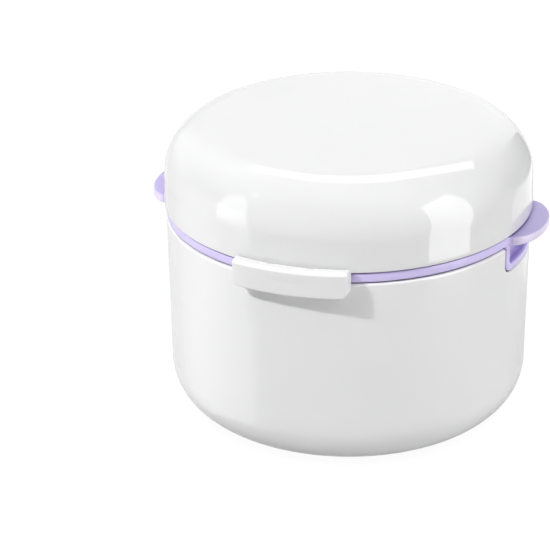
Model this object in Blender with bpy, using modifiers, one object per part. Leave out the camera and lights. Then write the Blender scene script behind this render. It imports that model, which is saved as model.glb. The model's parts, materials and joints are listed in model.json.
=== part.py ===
"""Round denture case: a cup, a strainer basket, a hinged lid and a snap latch.

Metres, +Z up. The origin is the centre of the base, on the table.
The latch is at the front, -Y. The lid's hinge is at the back, +Y.
The basket's two ears point along +X and -X.
"""
import math

import bmesh
import bpy
from mathutils import Matrix, Vector

MM = 0.001

# Smoothness of the round pieces
TURN_STEPS = 72
FINE_STEPS = 180
PIN_SIDES = 24
WELD = 0.001 * MM

# Cup
CUP_RADIUS = 45.0 * MM
CUP_HEIGHT = 50.6 * MM
CUP_DRAFT = 0.5 * MM
CUP_WALL = 1.8 * MM
CUP_FLOOR = 2.2 * MM
CUP_CORNER = 11.8 * MM
CUP_RIM_ROUND = 0.6 * MM

# Seam between the cup, the basket's flange and the lid
SEAM_GAP = 0.3 * MM
FLANGE_THICKNESS = 2.35 * MM
FLANGE_ROUND = 0.5 * MM

# Basket
BASKET_WALL = 1.5 * MM
SUMP_HEIGHT = 5.05 * MM
BASKET_FLOOR = 1.6 * MM
BASKET_CORNER = 8.4 * MM
BASKET_TAPER = 4.0 * MM
BASKET_SIDE_GAP = 0.6 * MM
LIP_HEIGHT = 2.8 * MM
LIP_THICKNESS = 1.6 * MM
LIP_SIDE_GAP = 0.7 * MM
LIP_ROUND = 0.5 * MM

# Drain slots in the basket's floor
SLOT_COUNT = 12
SLOT_EDGE_MARGIN = 3.6 * MM
SLOT_INNER_END = 9.0 * MM
SLOT_OUTER_WIDTH = 4.5 * MM
SLOT_INNER_WIDTH = 2.0 * MM

# Ears of the basket, and the apron under each ear that fills a notch in the cup
EAR_REACH = 5.2 * MM
EAR_HALF_ANGLE = 15.0
EAR_STEPS = 14
APRON_HALF_WIDTH = 12.3 * MM
APRON_DEPTH = 6.75 * MM
APRON_CORNER = 2.2 * MM
APRON_BORDER = 1.6 * MM
APRON_RECESS = 2.0 * MM
APRON_INSET = 0.12 * MM
NOTCH_GAP = 0.3 * MM

# Lid
LID_OVERHANG = 0.45 * MM
LID_HEIGHT = 21.2 * MM
LID_WALL = 1.6 * MM
LID_DRAFT = 0.2 * MM
LID_CORNER = 12.7 * MM
LID_CROWN_SLOPE = 4.3

# Rear hinge
HINGE_PIN_RADIUS = 0.8 * MM
HINGE_PIN_INSET = 0.3 * MM
KNUCKLE_RADIUS = 1.825 * MM
KNUCKLE_WIDTH = 24.0 * MM
KNUCKLE_ROOT = 4.2 * MM
LUG_WIDTH = 2.7 * MM
LUG_ROOT = 8.5 * MM
HINGE_RISE = 0.9 * MM
HINGE_WALL_GAP = 0.3 * MM
HINGE_SIDE_GAP = 0.3 * MM
PIN_GAP = 0.08 * MM

# Front latch
LATCH_WIDTH = 27.8 * MM
LATCH_RISE = 1.55 * MM
LATCH_HEIGHT = 6.4 * MM
LATCH_DEPTH = 3.65 * MM
LATCH_WALL_GAP = 0.3 * MM
LATCH_PLATE = 1.5 * MM
LATCH_LEDGE = 1.5 * MM
LATCH_END_WALL = 1.0 * MM
LATCH_FOOT_CORNER = 1.3 * MM
LATCH_SIDE_CORNER = 0.9 * MM
LATCH_EDGE_ROUND = 0.4 * MM

# Pin of the front latch, and the two lugs of the lid that hold it
LATCH_PIN_RADIUS = 0.4 * MM
LATCH_PIN_LENGTH = 16.0 * MM
LATCH_BACK_ROUND = 1.2 * MM
LATCH_KNUCKLE_RADIUS = 1.1 * MM
LATCH_KNUCKLE_LENGTH = 18.6 * MM
LATCH_LUG_RADIUS = 0.8 * MM
LATCH_LUG_WIDTH = 1.8 * MM
LATCH_LUG_OFFSET = 4.8 * MM
LATCH_LUG_GAP = 0.15 * MM
LUG_WEB_RISE = 0.35 * MM
LATCH_ROOF_REACH = 0.2 * MM

# Snap: a hook inside the latch that sits under a rib on the cup
SNAP_WIDTH = 12.0 * MM
RIB_REACH = 0.8 * MM
RIB_HEIGHT = 0.4 * MM
RIB_DROP = 0.65 * MM
HOOK_FOOT = 0.1 * MM
HOOK_GAP = 0.3 * MM

# Places that follow from the sizes above
FLANGE_BOTTOM = CUP_HEIGHT + SEAM_GAP
FLANGE_TOP = FLANGE_BOTTOM + FLANGE_THICKNESS
FLANGE_MIDDLE = (FLANGE_BOTTOM + FLANGE_TOP) / 2
LID_BOTTOM = FLANGE_TOP + SEAM_GAP
LID_TOP = LID_BOTTOM + LID_HEIGHT
LID_RADIUS = CUP_RADIUS + LID_OVERHANG
CUP_INNER_RADIUS = CUP_RADIUS - CUP_WALL
BASKET_RADIUS = CUP_INNER_RADIUS - BASKET_SIDE_GAP
BASKET_BOTTOM = CUP_FLOOR + SUMP_HEIGHT
BASKET_FLAT_RADIUS = BASKET_RADIUS - BASKET_TAPER - BASKET_CORNER
LIP_TOP = FLANGE_TOP + LIP_HEIGHT
LIP_RADIUS = LID_RADIUS - LID_WALL - LIP_SIDE_GAP
APRON_BOTTOM = CUP_HEIGHT - APRON_DEPTH
HINGE_Y = LID_RADIUS + HINGE_WALL_GAP + KNUCKLE_RADIUS
HINGE_Z = CUP_HEIGHT + HINGE_RISE
LATCH_TOP = LID_BOTTOM + LATCH_RISE
LATCH_BOTTOM = LATCH_TOP - LATCH_HEIGHT
LATCH_REAR_RADIUS = LID_RADIUS + LATCH_WALL_GAP
LATCH_FRONT_RADIUS = LATCH_REAR_RADIUS + LATCH_DEPTH
LATCH_PIN_Y = -(LATCH_REAR_RADIUS + LATCH_BACK_ROUND)
LATCH_PIN_Z = LATCH_TOP - LATCH_BACK_ROUND
RIB_RADIUS = CUP_RADIUS + RIB_REACH
FAR = 2 * CUP_RADIUS


def clear_scene():
    for item in list(bpy.data.objects):
        bpy.data.objects.remove(item, do_unlink=True)


def new_collection(name):
    collection = bpy.data.collections.new(name)
    bpy.context.scene.collection.children.link(collection)
    return collection


def new_material(name, colour, roughness, metallic=0.0):
    material = bpy.data.materials.new(name)
    material.use_nodes = True
    shader = material.node_tree.nodes["Principled BSDF"]
    shader.inputs["Base Color"].default_value = (*colour, 1.0)
    shader.inputs["Roughness"].default_value = roughness
    shader.inputs["Metallic"].default_value = metallic
    return material


clear_scene()
PARTS = new_collection("denture_case")
CUTTERS = new_collection("cutters")
WHITE = new_material("white_gloss_plastic", (0.86, 0.86, 0.87), 0.12)
LATCH_WHITE = new_material("white_satin_plastic", (0.84, 0.84, 0.85), 0.3)
LAVENDER = new_material("lavender_plastic", (0.56, 0.49, 0.80), 0.3)
STEEL = new_material("steel_pin", (0.60, 0.60, 0.62), 0.3, 1.0)


def add_part(name, mesh, material):
    part = bpy.data.objects.new(name, mesh)
    PARTS.objects.link(part)
    mesh.materials.append(material)
    return part


def add_cutter(name, mesh):
    cutter = bpy.data.objects.new(name, mesh)
    CUTTERS.objects.link(cutter)
    cutter.display_type = "WIRE"
    cutter.hide_render = True
    return cutter


def combine(target, tool, operation):
    """A Boolean on the target: UNION, DIFFERENCE or INTERSECT with the tool."""
    boolean = target.modifiers.new(operation.lower() + "_" + tool.name, "BOOLEAN")
    boolean.operation = operation
    boolean.object = tool


def arc(centre, radius, start, end, steps):
    """Points on a round corner, from one angle in degrees to another."""
    points = []
    for step in range(steps + 1):
        angle = math.radians(start + (end - start) * step / steps)
        points.append((centre[0] + radius * math.cos(angle), centre[1] + radius * math.sin(angle)))
    return points


def turned_mesh(name, profile, closed):
    """A profile of (radius, height) points, to be turned by a Screw modifier."""
    mesh = bpy.data.meshes.new(name)
    edges = [(i, i + 1) for i in range(len(profile) - 1)]
    if closed:
        edges.append((len(profile) - 1, 0))
    mesh.from_pydata([(radius, 0.0, height) for radius, height in profile], edges, [])
    return mesh


def turn(item, steps=TURN_STEPS):
    """A full turn about the object's own Z axis."""
    screw = item.modifiers.new("turn", "SCREW")
    screw.steps = steps
    screw.render_steps = steps
    screw.use_merge_vertices = True
    screw.merge_threshold = WELD
    screw.use_smooth_shade = True


def turned_part(name, profile, material):
    part = add_part(name, turned_mesh(name, profile, closed=False), material)
    turn(part)
    return part


def ring_cutter(name, profile, steps=TURN_STEPS):
    """A ring whose section is a closed outline, outer side first, running down."""
    cutter = add_cutter(name, turned_mesh(name, profile, closed=True))
    turn(cutter, steps)
    return cutter


AXES = {
    # An outline's two directions and its thickness, along X, Y or Z
    "X": Matrix(((0, 0, 1), (1, 0, 0), (0, 1, 0))),
    "Y": Matrix(((1, 0, 0), (0, 0, -1), (0, 1, 0))),
    "Z": Matrix(((1, 0, 0), (0, 1, 0), (0, 0, 1))),
}


def slab_mesh(name, outlines, low, high, along):
    """Flat outlines given thickness between two places on one axis."""
    curve = bpy.data.curves.new(name, "CURVE")
    curve.dimensions = "2D"
    curve.fill_mode = "BOTH"
    curve.extrude = (high - low) / 2
    for outline in outlines:
        spline = curve.splines.new("POLY")
        spline.points.add(len(outline) - 1)
        for point, (across, up) in zip(spline.points, outline):
            point.co = (across, up, 0.0, 1.0)
        spline.use_cyclic_u = True
    source = bpy.data.objects.new(name + "_outline", curve)
    CUTTERS.objects.link(source)
    depsgraph = bpy.context.evaluated_depsgraph_get()
    mesh = bpy.data.meshes.new_from_object(source.evaluated_get(depsgraph))
    bpy.data.objects.remove(source, do_unlink=True)
    facing = AXES[along].to_4x4()
    middle = facing @ Vector((0.0, 0.0, (high + low) / 2))
    if along == "Y":
        middle = -middle
    edit = bmesh.new()
    edit.from_mesh(mesh)
    bmesh.ops.remove_doubles(edit, verts=edit.verts, dist=WELD)
    bmesh.ops.recalc_face_normals(edit, faces=edit.faces)
    bmesh.ops.transform(edit, matrix=Matrix.Translation(middle) @ facing, verts=edit.verts)
    edit.to_mesh(mesh)
    edit.free()
    mesh.name = name
    return mesh


def slab_cutter(name, outlines, low, high, along):
    return add_cutter(name, slab_mesh(name, outlines, low, high, along))


def rod_mesh(name, radius, length, centre):
    """A round bar along X."""
    edit = bmesh.new()
    placed = Matrix.Translation(centre) @ Matrix.Rotation(math.radians(90), 4, "Y")
    bmesh.ops.create_cone(
        edit,
        cap_ends=True,
        segments=PIN_SIDES,
        radius1=radius,
        radius2=radius,
        depth=length,
        matrix=placed,
    )
    mesh = bpy.data.meshes.new(name)
    edit.to_mesh(mesh)
    edit.free()
    return mesh


def rod_cutter(name, radius, length, centre):
    return add_cutter(name, rod_mesh(name, radius, length, centre))


def drum_cutter(name, radius):
    """A tall upright cylinder round the case's own axis."""
    return ring_cutter_solid(name, [(0.0, FAR), (radius, FAR), (radius, -FAR), (0.0, -FAR)])


def ring_cutter_solid(name, profile):
    cutter = add_cutter(name, turned_mesh(name, profile, closed=False))
    turn(cutter)
    return cutter


def notch_outline(half_width, bottom, top, corner):
    """A U with round lower corners: across, up."""
    left = arc((-half_width + corner, bottom + corner), corner, 180, 270, 5)
    right = arc((half_width - corner, bottom + corner), corner, 270, 360, 5)
    return left + right + [(half_width, top), (-half_width, top)]


def box_outline(low_across, high_across, low_up, high_up):
    return [(low_across, low_up), (high_across, low_up), (high_across, high_up), (low_across, high_up)]


def corner_below(radius, bottom, corner, steps):
    """A rounded foot, from its side down to its bottom."""
    return arc((radius - corner, bottom + corner), corner, 0, -90, steps)


def cup_profile():
    foot_radius = CUP_RADIUS - CUP_DRAFT
    inner_corner = CUP_CORNER - CUP_WALL
    inner = corner_below(foot_radius - CUP_WALL, CUP_FLOOR, inner_corner, 6)
    rim_outer = arc(
        (CUP_RADIUS - CUP_RIM_ROUND, CUP_HEIGHT - CUP_RIM_ROUND), CUP_RIM_ROUND, 90, 0, 3
    )
    points = [(0.0, CUP_FLOOR)] + inner[::-1]
    points += [(CUP_INNER_RADIUS, CUP_HEIGHT)] + rim_outer
    points += corner_below(foot_radius, 0.0, CUP_CORNER, 8)
    points.append((0.0, 0.0))
    return points


def hinge_knuckle(y, z, start, end):
    """Part of the hinge's round end, in the Y and Z of the case."""
    return arc((y, z), KNUCKLE_RADIUS, start, end, 10)


def make_cup():
    cup = turned_part("cup_body", cup_profile(), WHITE)
    # The lugs stop below the flange, and their round ends stand clear of the lid
    lug_outline = [
        (HINGE_Y - KNUCKLE_RADIUS, HINGE_Z),
        (HINGE_Y - KNUCKLE_RADIUS, CUP_HEIGHT - CUP_RIM_ROUND),
        (0.0, CUP_HEIGHT - CUP_RIM_ROUND),
        (0.0, HINGE_Z - LUG_ROOT - KNUCKLE_RADIUS),
        (CUP_RADIUS, HINGE_Z - LUG_ROOT - KNUCKLE_RADIUS),
    ]
    lug_outline += hinge_knuckle(HINGE_Y, HINGE_Z, -35, 180)[:-1]
    inner_face = KNUCKLE_WIDTH / 2 + HINGE_SIDE_GAP
    wall_middle = drum_cutter("cup_wall_middle", CUP_RADIUS - CUP_WALL / 2)
    for side, name in ((-1, "left"), (1, "right")):
        faces = sorted((side * inner_face, side * (inner_face + LUG_WIDTH)))
        lug = slab_cutter("cup_lug_" + name, [lug_outline], faces[0], faces[1], "X")
        combine(lug, wall_middle, "DIFFERENCE")
        combine(cup, lug, "UNION")
    bore = rod_cutter("cup_hinge_bore", HINGE_PIN_RADIUS + PIN_GAP, FAR, (0.0, HINGE_Y, HINGE_Z))
    combine(cup, bore, "DIFFERENCE")
    # The catch rib runs across the front, just under the rim
    rib_top = CUP_HEIGHT - RIB_DROP
    rib_profile = [
        (CUP_RADIUS - CUP_WALL / 2, rib_top),
        (RIB_RADIUS - RIB_HEIGHT / 2, rib_top),
        (RIB_RADIUS, rib_top - RIB_HEIGHT / 2),
        (RIB_RADIUS, rib_top - RIB_HEIGHT),
        (CUP_RADIUS - CUP_WALL / 2, rib_top - RIB_HEIGHT),
    ]
    rib = ring_cutter("catch_rib", rib_profile)
    snap_zone = box_outline(-SNAP_WIDTH / 2, SNAP_WIDTH / 2, -FAR, FAR)
    combine(rib, slab_cutter("rib_width", [snap_zone], -FAR, 0.0, "Y"), "INTERSECT")
    combine(cup, rib, "UNION")
    # A notch at each side lets the basket's aprons in from above
    notch = notch_outline(
        APRON_HALF_WIDTH + NOTCH_GAP, APRON_BOTTOM - NOTCH_GAP, LID_TOP, APRON_CORNER + NOTCH_GAP
    )
    combine(cup, slab_cutter("side_notches", [notch], -FAR, FAR, "X"), "DIFFERENCE")
    return cup


def basket_profile():
    foot_radius = BASKET_RADIUS - BASKET_TAPER
    inner_corner = BASKET_CORNER - BASKET_WALL
    floor_top = BASKET_BOTTOM + BASKET_FLOOR
    inner = corner_below(foot_radius - BASKET_WALL, floor_top, inner_corner, 5)
    lip_outer = arc((LIP_RADIUS - LIP_ROUND, LIP_TOP - LIP_ROUND), LIP_ROUND, 90, 0, 3)
    lip_inner = arc(
        (LIP_RADIUS - LIP_THICKNESS + LIP_ROUND, LIP_TOP - LIP_ROUND), LIP_ROUND, 180, 90, 3
    )
    points = [(0.0, floor_top)] + inner[::-1]
    points += [(BASKET_RADIUS - BASKET_WALL, FLANGE_MIDDLE)] + lip_inner + lip_outer
    # The step from the wall to the lip is buried in the flange
    points += [(LIP_RADIUS, FLANGE_MIDDLE), (BASKET_RADIUS, FLANGE_MIDDLE)]
    points += corner_below(foot_radius, BASKET_BOTTOM, BASKET_CORNER, 6)
    points.append((0.0, BASKET_BOTTOM))
    return points


def flange_outline():
    """The rim's circle, with an ear that swells out at each side."""
    points = []
    ear_end = 90 * (1 - 1 / EAR_STEPS)
    rim_steps = TURN_STEPS // 2
    for middle in (0, 180):
        for step in range(2 * EAR_STEPS - 1):
            swing = math.radians(-ear_end + 2 * ear_end * step / (2 * EAR_STEPS - 2))
            angle = math.radians(middle + EAR_HALF_ANGLE * math.sin(swing))
            radius = CUP_RADIUS + EAR_REACH * math.cos(swing)
            points.append((radius * math.cos(angle), radius * math.sin(angle)))
        points += arc(
            (0.0, 0.0), CUP_RADIUS, middle + EAR_HALF_ANGLE, middle + 180 - EAR_HALF_ANGLE, rim_steps
        )
    return points


def tapered_slot(angle):
    """One petal of the drain: two round ends joined by straight sides."""
    outer_round = SLOT_OUTER_WIDTH / 2
    inner_round = SLOT_INNER_WIDTH / 2
    outer_centre = BASKET_FLAT_RADIUS - SLOT_EDGE_MARGIN - outer_round
    inner_centre = SLOT_INNER_END + inner_round
    lean = math.degrees(math.asin((outer_round - inner_round) / (outer_centre - inner_centre)))
    # Odd counts keep every corner off the radial edges of the turned floor
    points = arc((outer_centre, 0.0), outer_round, -90 - lean, 90 + lean, 7)
    points += arc((inner_centre, 0.0), inner_round, 90 + lean, 270 - lean, 5)
    turned = Matrix.Rotation(angle, 2)
    return [tuple(turned @ Vector(point)) for point in points]


def make_basket():
    basket = turned_part("basket", basket_profile(), LAVENDER)
    petals = [tapered_slot(2 * math.pi * index / SLOT_COUNT) for index in range(SLOT_COUNT)]
    floor_top = BASKET_BOTTOM + BASKET_FLOOR
    slots = slab_cutter("drain_slots", petals, BASKET_BOTTOM - BASKET_FLOOR, floor_top + BASKET_FLOOR, "Z")
    combine(basket, slots, "DIFFERENCE")
    # The flange carries both ears, and its hole lies inside the bowl's wall
    hole_radius = BASKET_RADIUS - BASKET_WALL / 2
    hole = arc((0.0, 0.0), hole_radius, 0, 360, TURN_STEPS)[:-1]
    flange = slab_cutter("flange", [flange_outline(), hole], FLANGE_BOTTOM, FLANGE_TOP, "Z")
    edge = flange.modifiers.new("soft_edges", "BEVEL")
    edge.width = FLANGE_ROUND
    edge.segments = 2
    edge.limit_method = "ANGLE"
    edge.angle_limit = math.radians(60)
    combine(basket, flange, "UNION")
    # The aprons are flush with the cup's wall and rise into the flange
    foot_radius = BASKET_RADIUS - BASKET_TAPER
    wall_run = FLANGE_MIDDLE - BASKET_BOTTOM - BASKET_CORNER
    lean_in = (BASKET_RADIUS - foot_radius) * (FLANGE_MIDDLE - APRON_BOTTOM) / wall_run
    apron_radius = CUP_RADIUS - APRON_INSET
    apron_profile = [
        (hole_radius, FLANGE_MIDDLE),
        (apron_radius, FLANGE_MIDDLE),
        (apron_radius, APRON_BOTTOM),
        (hole_radius - lean_in, APRON_BOTTOM),
    ]
    aprons = ring_cutter("aprons", apron_profile)
    outline = notch_outline(APRON_HALF_WIDTH, APRON_BOTTOM, FAR, APRON_CORNER)
    combine(aprons, slab_cutter("apron_outline", [outline], -FAR, FAR, "X"), "INTERSECT")
    # A finger recess leaves a border round each apron
    recess_profile = [
        (CUP_RADIUS - APRON_RECESS, LID_TOP),
        (FAR, LID_TOP),
        (FAR, 0.0),
        (CUP_RADIUS - APRON_RECESS, 0.0),
    ]
    recesses = ring_cutter("finger_recesses", recess_profile)
    inner_outline = notch_outline(
        APRON_HALF_WIDTH - APRON_BORDER,
        APRON_BOTTOM + APRON_BORDER,
        FAR,
        APRON_CORNER - APRON_BORDER / 2,
    )
    combine(recesses, slab_cutter("recess_outline", [inner_outline], -FAR, FAR, "X"), "INTERSECT")
    combine(aprons, recesses, "DIFFERENCE")
    combine(basket, aprons, "UNION")
    return basket


def lid_surface(radius, top, corner, steps):
    """A low dome that runs into a round shoulder, from the axis outwards."""
    centre_radius = radius - LID_DRAFT - corner
    edge_radius = centre_radius + corner * math.sin(math.radians(LID_CROWN_SLOPE))
    rise = edge_radius * math.tan(math.radians(LID_CROWN_SLOPE)) / 2
    edge_height = top - rise
    centre_height = edge_height - corner * math.cos(math.radians(LID_CROWN_SLOPE))
    dome = []
    for step in range(4):
        share = step / 4
        dome.append((edge_radius * share, top - rise * share ** 2))
    return dome + arc((centre_radius, centre_height), corner, 90 - LID_CROWN_SLOPE, 0, steps)


def make_lid():
    outer = lid_surface(LID_RADIUS, LID_TOP, LID_CORNER, 8)
    inner = lid_surface(LID_RADIUS - LID_WALL, LID_TOP - LID_WALL, LID_CORNER - LID_WALL, 6)
    edge = [(LID_RADIUS, LID_BOTTOM), (LID_RADIUS - LID_WALL, LID_BOTTOM)]
    lid = turned_part("lid", outer + edge + inner[::-1], WHITE)
    wall_middle = drum_cutter("lid_wall_middle", LID_RADIUS - LID_WALL / 2)
    # The rear plate drops from the lid's wall to the hinge, clear of the flange
    root_bottom = LID_BOTTOM + HINGE_SIDE_GAP / 2
    plate_outline = [
        (0.0, root_bottom + KNUCKLE_ROOT),
        (0.0, root_bottom),
        (HINGE_Y - KNUCKLE_RADIUS, root_bottom),
    ]
    plate_outline += hinge_knuckle(HINGE_Y, HINGE_Z, 180, 400)
    plate_outline.append((LID_RADIUS, root_bottom + KNUCKLE_ROOT))
    plate = slab_cutter(
        "lid_hinge_plate", [plate_outline], -KNUCKLE_WIDTH / 2, KNUCKLE_WIDTH / 2, "X"
    )
    combine(plate, wall_middle, "DIFFERENCE")
    combine(lid, plate, "UNION")
    # Two lugs at the front reach into the latch and carry its pin
    web_start = math.degrees(math.asin(LUG_WEB_RISE / LATCH_LUG_RADIUS))
    lug_outline = [(0.0, LATCH_PIN_Z + LUG_WEB_RISE)]
    lug_outline += arc((LATCH_PIN_Y, LATCH_PIN_Z), LATCH_LUG_RADIUS, web_start, 345, 18)
    lug_outline.append((0.0, lug_outline[-1][1]))
    for side, name in ((-1, "left"), (1, "right")):
        middle = side * LATCH_LUG_OFFSET
        lug = slab_cutter(
            "lid_lug_" + name,
            [lug_outline],
            middle - LATCH_LUG_WIDTH / 2,
            middle + LATCH_LUG_WIDTH / 2,
            "X",
        )
        combine(lug, wall_middle, "DIFFERENCE")
        combine(lid, lug, "UNION")
    hinge_bore = rod_cutter(
        "lid_hinge_bore", HINGE_PIN_RADIUS + PIN_GAP, FAR, (0.0, HINGE_Y, HINGE_Z)
    )
    latch_bore = rod_cutter(
        "lid_latch_bore", LATCH_PIN_RADIUS + PIN_GAP, FAR, (0.0, LATCH_PIN_Y, LATCH_PIN_Z)
    )
    combine(lid, hinge_bore, "DIFFERENCE")
    combine(lid, latch_bore, "DIFFERENCE")
    return lid


def latch_plan():
    """The latch seen from above: straight ends and round front corners."""
    half = LATCH_WIDTH / 2
    reach = LATCH_FRONT_RADIUS - LATCH_SIDE_CORNER
    corner_x = half - LATCH_SIDE_CORNER
    corner_y = -math.sqrt(reach ** 2 - corner_x ** 2)
    lean = math.degrees(math.asin(corner_x / reach))
    right = arc((corner_x, corner_y), LATCH_SIDE_CORNER, 0, lean - 90, 5)
    left = [(-across, along) for across, along in reversed(right)]
    front = [(0.0, -LATCH_FRONT_RADIUS - LATCH_DEPTH)]
    return [(half, 0.0)] + right + front + left + [(-half, 0.0)]


def make_latch():
    # A block that follows the case round, with its back top edge round about the pin
    back_top = arc(
        (LATCH_REAR_RADIUS + LATCH_BACK_ROUND, LATCH_PIN_Z), LATCH_BACK_ROUND, 180, 90, 4
    )
    front_top = arc(
        (LATCH_FRONT_RADIUS - LATCH_EDGE_ROUND, LATCH_TOP - LATCH_EDGE_ROUND),
        LATCH_EDGE_ROUND,
        90,
        0,
        3,
    )
    block_profile = back_top + front_top
    block_profile += [(LATCH_FRONT_RADIUS, LATCH_BOTTOM), (LATCH_REAR_RADIUS, LATCH_BOTTOM)]
    latch = add_part(
        "front_latch", turned_mesh("front_latch", block_profile, closed=True), LATCH_WHITE
    )
    turn(latch, FINE_STEPS)
    face = notch_outline(LATCH_WIDTH / 2, LATCH_BOTTOM, FAR, LATCH_FOOT_CORNER)
    combine(latch, slab_cutter("latch_face", [face], -FAR, 0.0, "Y"), "INTERSECT")
    combine(latch, slab_cutter("latch_plan", [latch_plan()], 0.0, FAR, "Z"), "INTERSECT")
    # The hollow behind the face, open below and towards the cup
    pocket_profile = [
        (LATCH_FRONT_RADIUS - LATCH_PLATE, LATCH_TOP - LATCH_LEDGE),
        (LATCH_FRONT_RADIUS - LATCH_PLATE, 0.0),
        (CUP_RADIUS / 2, 0.0),
        (CUP_RADIUS / 2, LATCH_TOP - LATCH_LEDGE),
    ]
    pocket = ring_cutter("latch_pocket", pocket_profile, FINE_STEPS)
    pocket_half = LATCH_WIDTH / 2 - LATCH_END_WALL
    pocket_zone = box_outline(-pocket_half, pocket_half, -FAR, FAR)
    combine(pocket, slab_cutter("pocket_width", [pocket_zone], -FAR, 0.0, "Y"), "INTERSECT")
    combine(latch, pocket, "DIFFERENCE")
    pin_place = (0.0, LATCH_PIN_Y, LATCH_PIN_Z)
    knuckle = rod_cutter("latch_knuckle", LATCH_KNUCKLE_RADIUS, LATCH_KNUCKLE_LENGTH, pin_place)
    combine(latch, knuckle, "UNION")
    # The hook sits just below the cup's rib
    rib_bottom = CUP_HEIGHT - RIB_DROP - RIB_HEIGHT
    hook_root = LATCH_FRONT_RADIUS - LATCH_PLATE / 2
    hook_tip = RIB_RADIUS + HOOK_GAP
    hook_profile = [
        (hook_root, rib_bottom - HOOK_GAP),
        (hook_root, LATCH_BOTTOM + HOOK_FOOT),
        (hook_tip, LATCH_BOTTOM + HOOK_FOOT),
        (hook_tip, rib_bottom - HOOK_GAP),
    ]
    hook = ring_cutter("latch_hook", hook_profile, FINE_STEPS)
    snap_zone = box_outline(-SNAP_WIDTH / 2, SNAP_WIDTH / 2, -FAR, FAR)
    combine(hook, slab_cutter("hook_width", [snap_zone], -FAR, 0.0, "Y"), "INTERSECT")
    combine(latch, hook, "UNION")
    # A slot for each of the lid's lugs: open at the back and below, with a thin roof over the pin
    slot_round = LATCH_LUG_RADIUS + LATCH_LUG_GAP
    slot_front = LATCH_PIN_Y - LATCH_KNUCKLE_RADIUS - LATCH_LUG_GAP
    slot_bottom = LATCH_PIN_Z - LATCH_KNUCKLE_RADIUS - LATCH_LUG_GAP
    slot_shelf = LATCH_TOP - LATCH_LEDGE + LATCH_LUG_GAP
    slot_half = LATCH_LUG_WIDTH / 2 + LATCH_LUG_GAP
    shelf_turn = 180 - math.degrees(math.asin((slot_shelf - LATCH_PIN_Z) / slot_round))
    roof_turn = math.degrees(math.acos(LATCH_ROOF_REACH / slot_round))
    slot_outline = [(0.0, slot_bottom), (slot_front, slot_bottom), (slot_front, slot_shelf)]
    slot_outline += arc((LATCH_PIN_Y, LATCH_PIN_Z), slot_round, shelf_turn, roof_turn, 9)
    slot_outline += [(LATCH_PIN_Y + LATCH_ROOF_REACH, FAR), (0.0, FAR)]
    for side, name in ((-1, "left"), (1, "right")):
        middle = side * LATCH_LUG_OFFSET
        slot = slab_cutter(
            "latch_slot_" + name, [slot_outline], middle - slot_half, middle + slot_half, "X"
        )
        combine(latch, slot, "DIFFERENCE")
    bore = rod_cutter(
        "latch_bore", LATCH_PIN_RADIUS + PIN_GAP, LATCH_PIN_LENGTH + 2 * PIN_GAP, pin_place
    )
    combine(latch, bore, "DIFFERENCE")
    return latch


def make_pins():
    hinge_length = KNUCKLE_WIDTH + 2 * (HINGE_SIDE_GAP + LUG_WIDTH - HINGE_PIN_INSET)
    hinge_place = (0.0, HINGE_Y, HINGE_Z)
    latch_place = (0.0, LATCH_PIN_Y, LATCH_PIN_Z)
    hinge_pin = add_part(
        "hinge_pin", rod_mesh("hinge_pin", HINGE_PIN_RADIUS, hinge_length, hinge_place), STEEL
    )
    latch_pin = add_part(
        "latch_pin", rod_mesh("latch_pin", LATCH_PIN_RADIUS, LATCH_PIN_LENGTH, latch_place), STEEL
    )
    return hinge_pin, latch_pin


def axis_empty(name, place, parent=None):
    empty = bpy.data.objects.new(name, None)
    empty.empty_display_size = KNUCKLE_RADIUS
    PARTS.objects.link(empty)
    empty.location = place
    if parent:
        hold(empty, parent)
    return empty


def hold(child, parent):
    """Parent without moving the child."""
    bpy.context.view_layer.update()
    child.parent = parent
    child.matrix_parent_inverse = parent.matrix_world.inverted()


def shade(part):
    for polygon in part.data.polygons:
        polygon.use_smooth = True


def main():
    cup = make_cup()
    basket = make_basket()
    lid = make_lid()
    latch = make_latch()
    hinge_pin, latch_pin = make_pins()
    hold(basket, cup)
    hold(hinge_pin, cup)
    lid_axis = axis_empty("lid_hinge_axis", (0.0, HINGE_Y, HINGE_Z))
    latch_axis = axis_empty("latch_hinge_axis", (0.0, LATCH_PIN_Y, LATCH_PIN_Z), lid_axis)
    hold(lid, lid_axis)
    hold(latch_pin, lid_axis)
    hold(latch, latch_axis)
    for part in (cup, basket, lid, latch, hinge_pin, latch_pin):
        shade(part)


main()
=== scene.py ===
# %% [markdown]
# # A round denture case
#
# A white cup and a glossy white lid hold a lavender strainer basket between them.
# The basket's rim shows as a band round the middle, with an ear at each side to lift it by.
# A snap latch at the front bridges the seam, and the lid tips back on a hinge opposite it.
#
# The measured model is loaded first. Every piece below is made round it, in metres, +Z up.

import json
import math

import bpy
import numpy as np
from mathutils import Matrix, Vector

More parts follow.
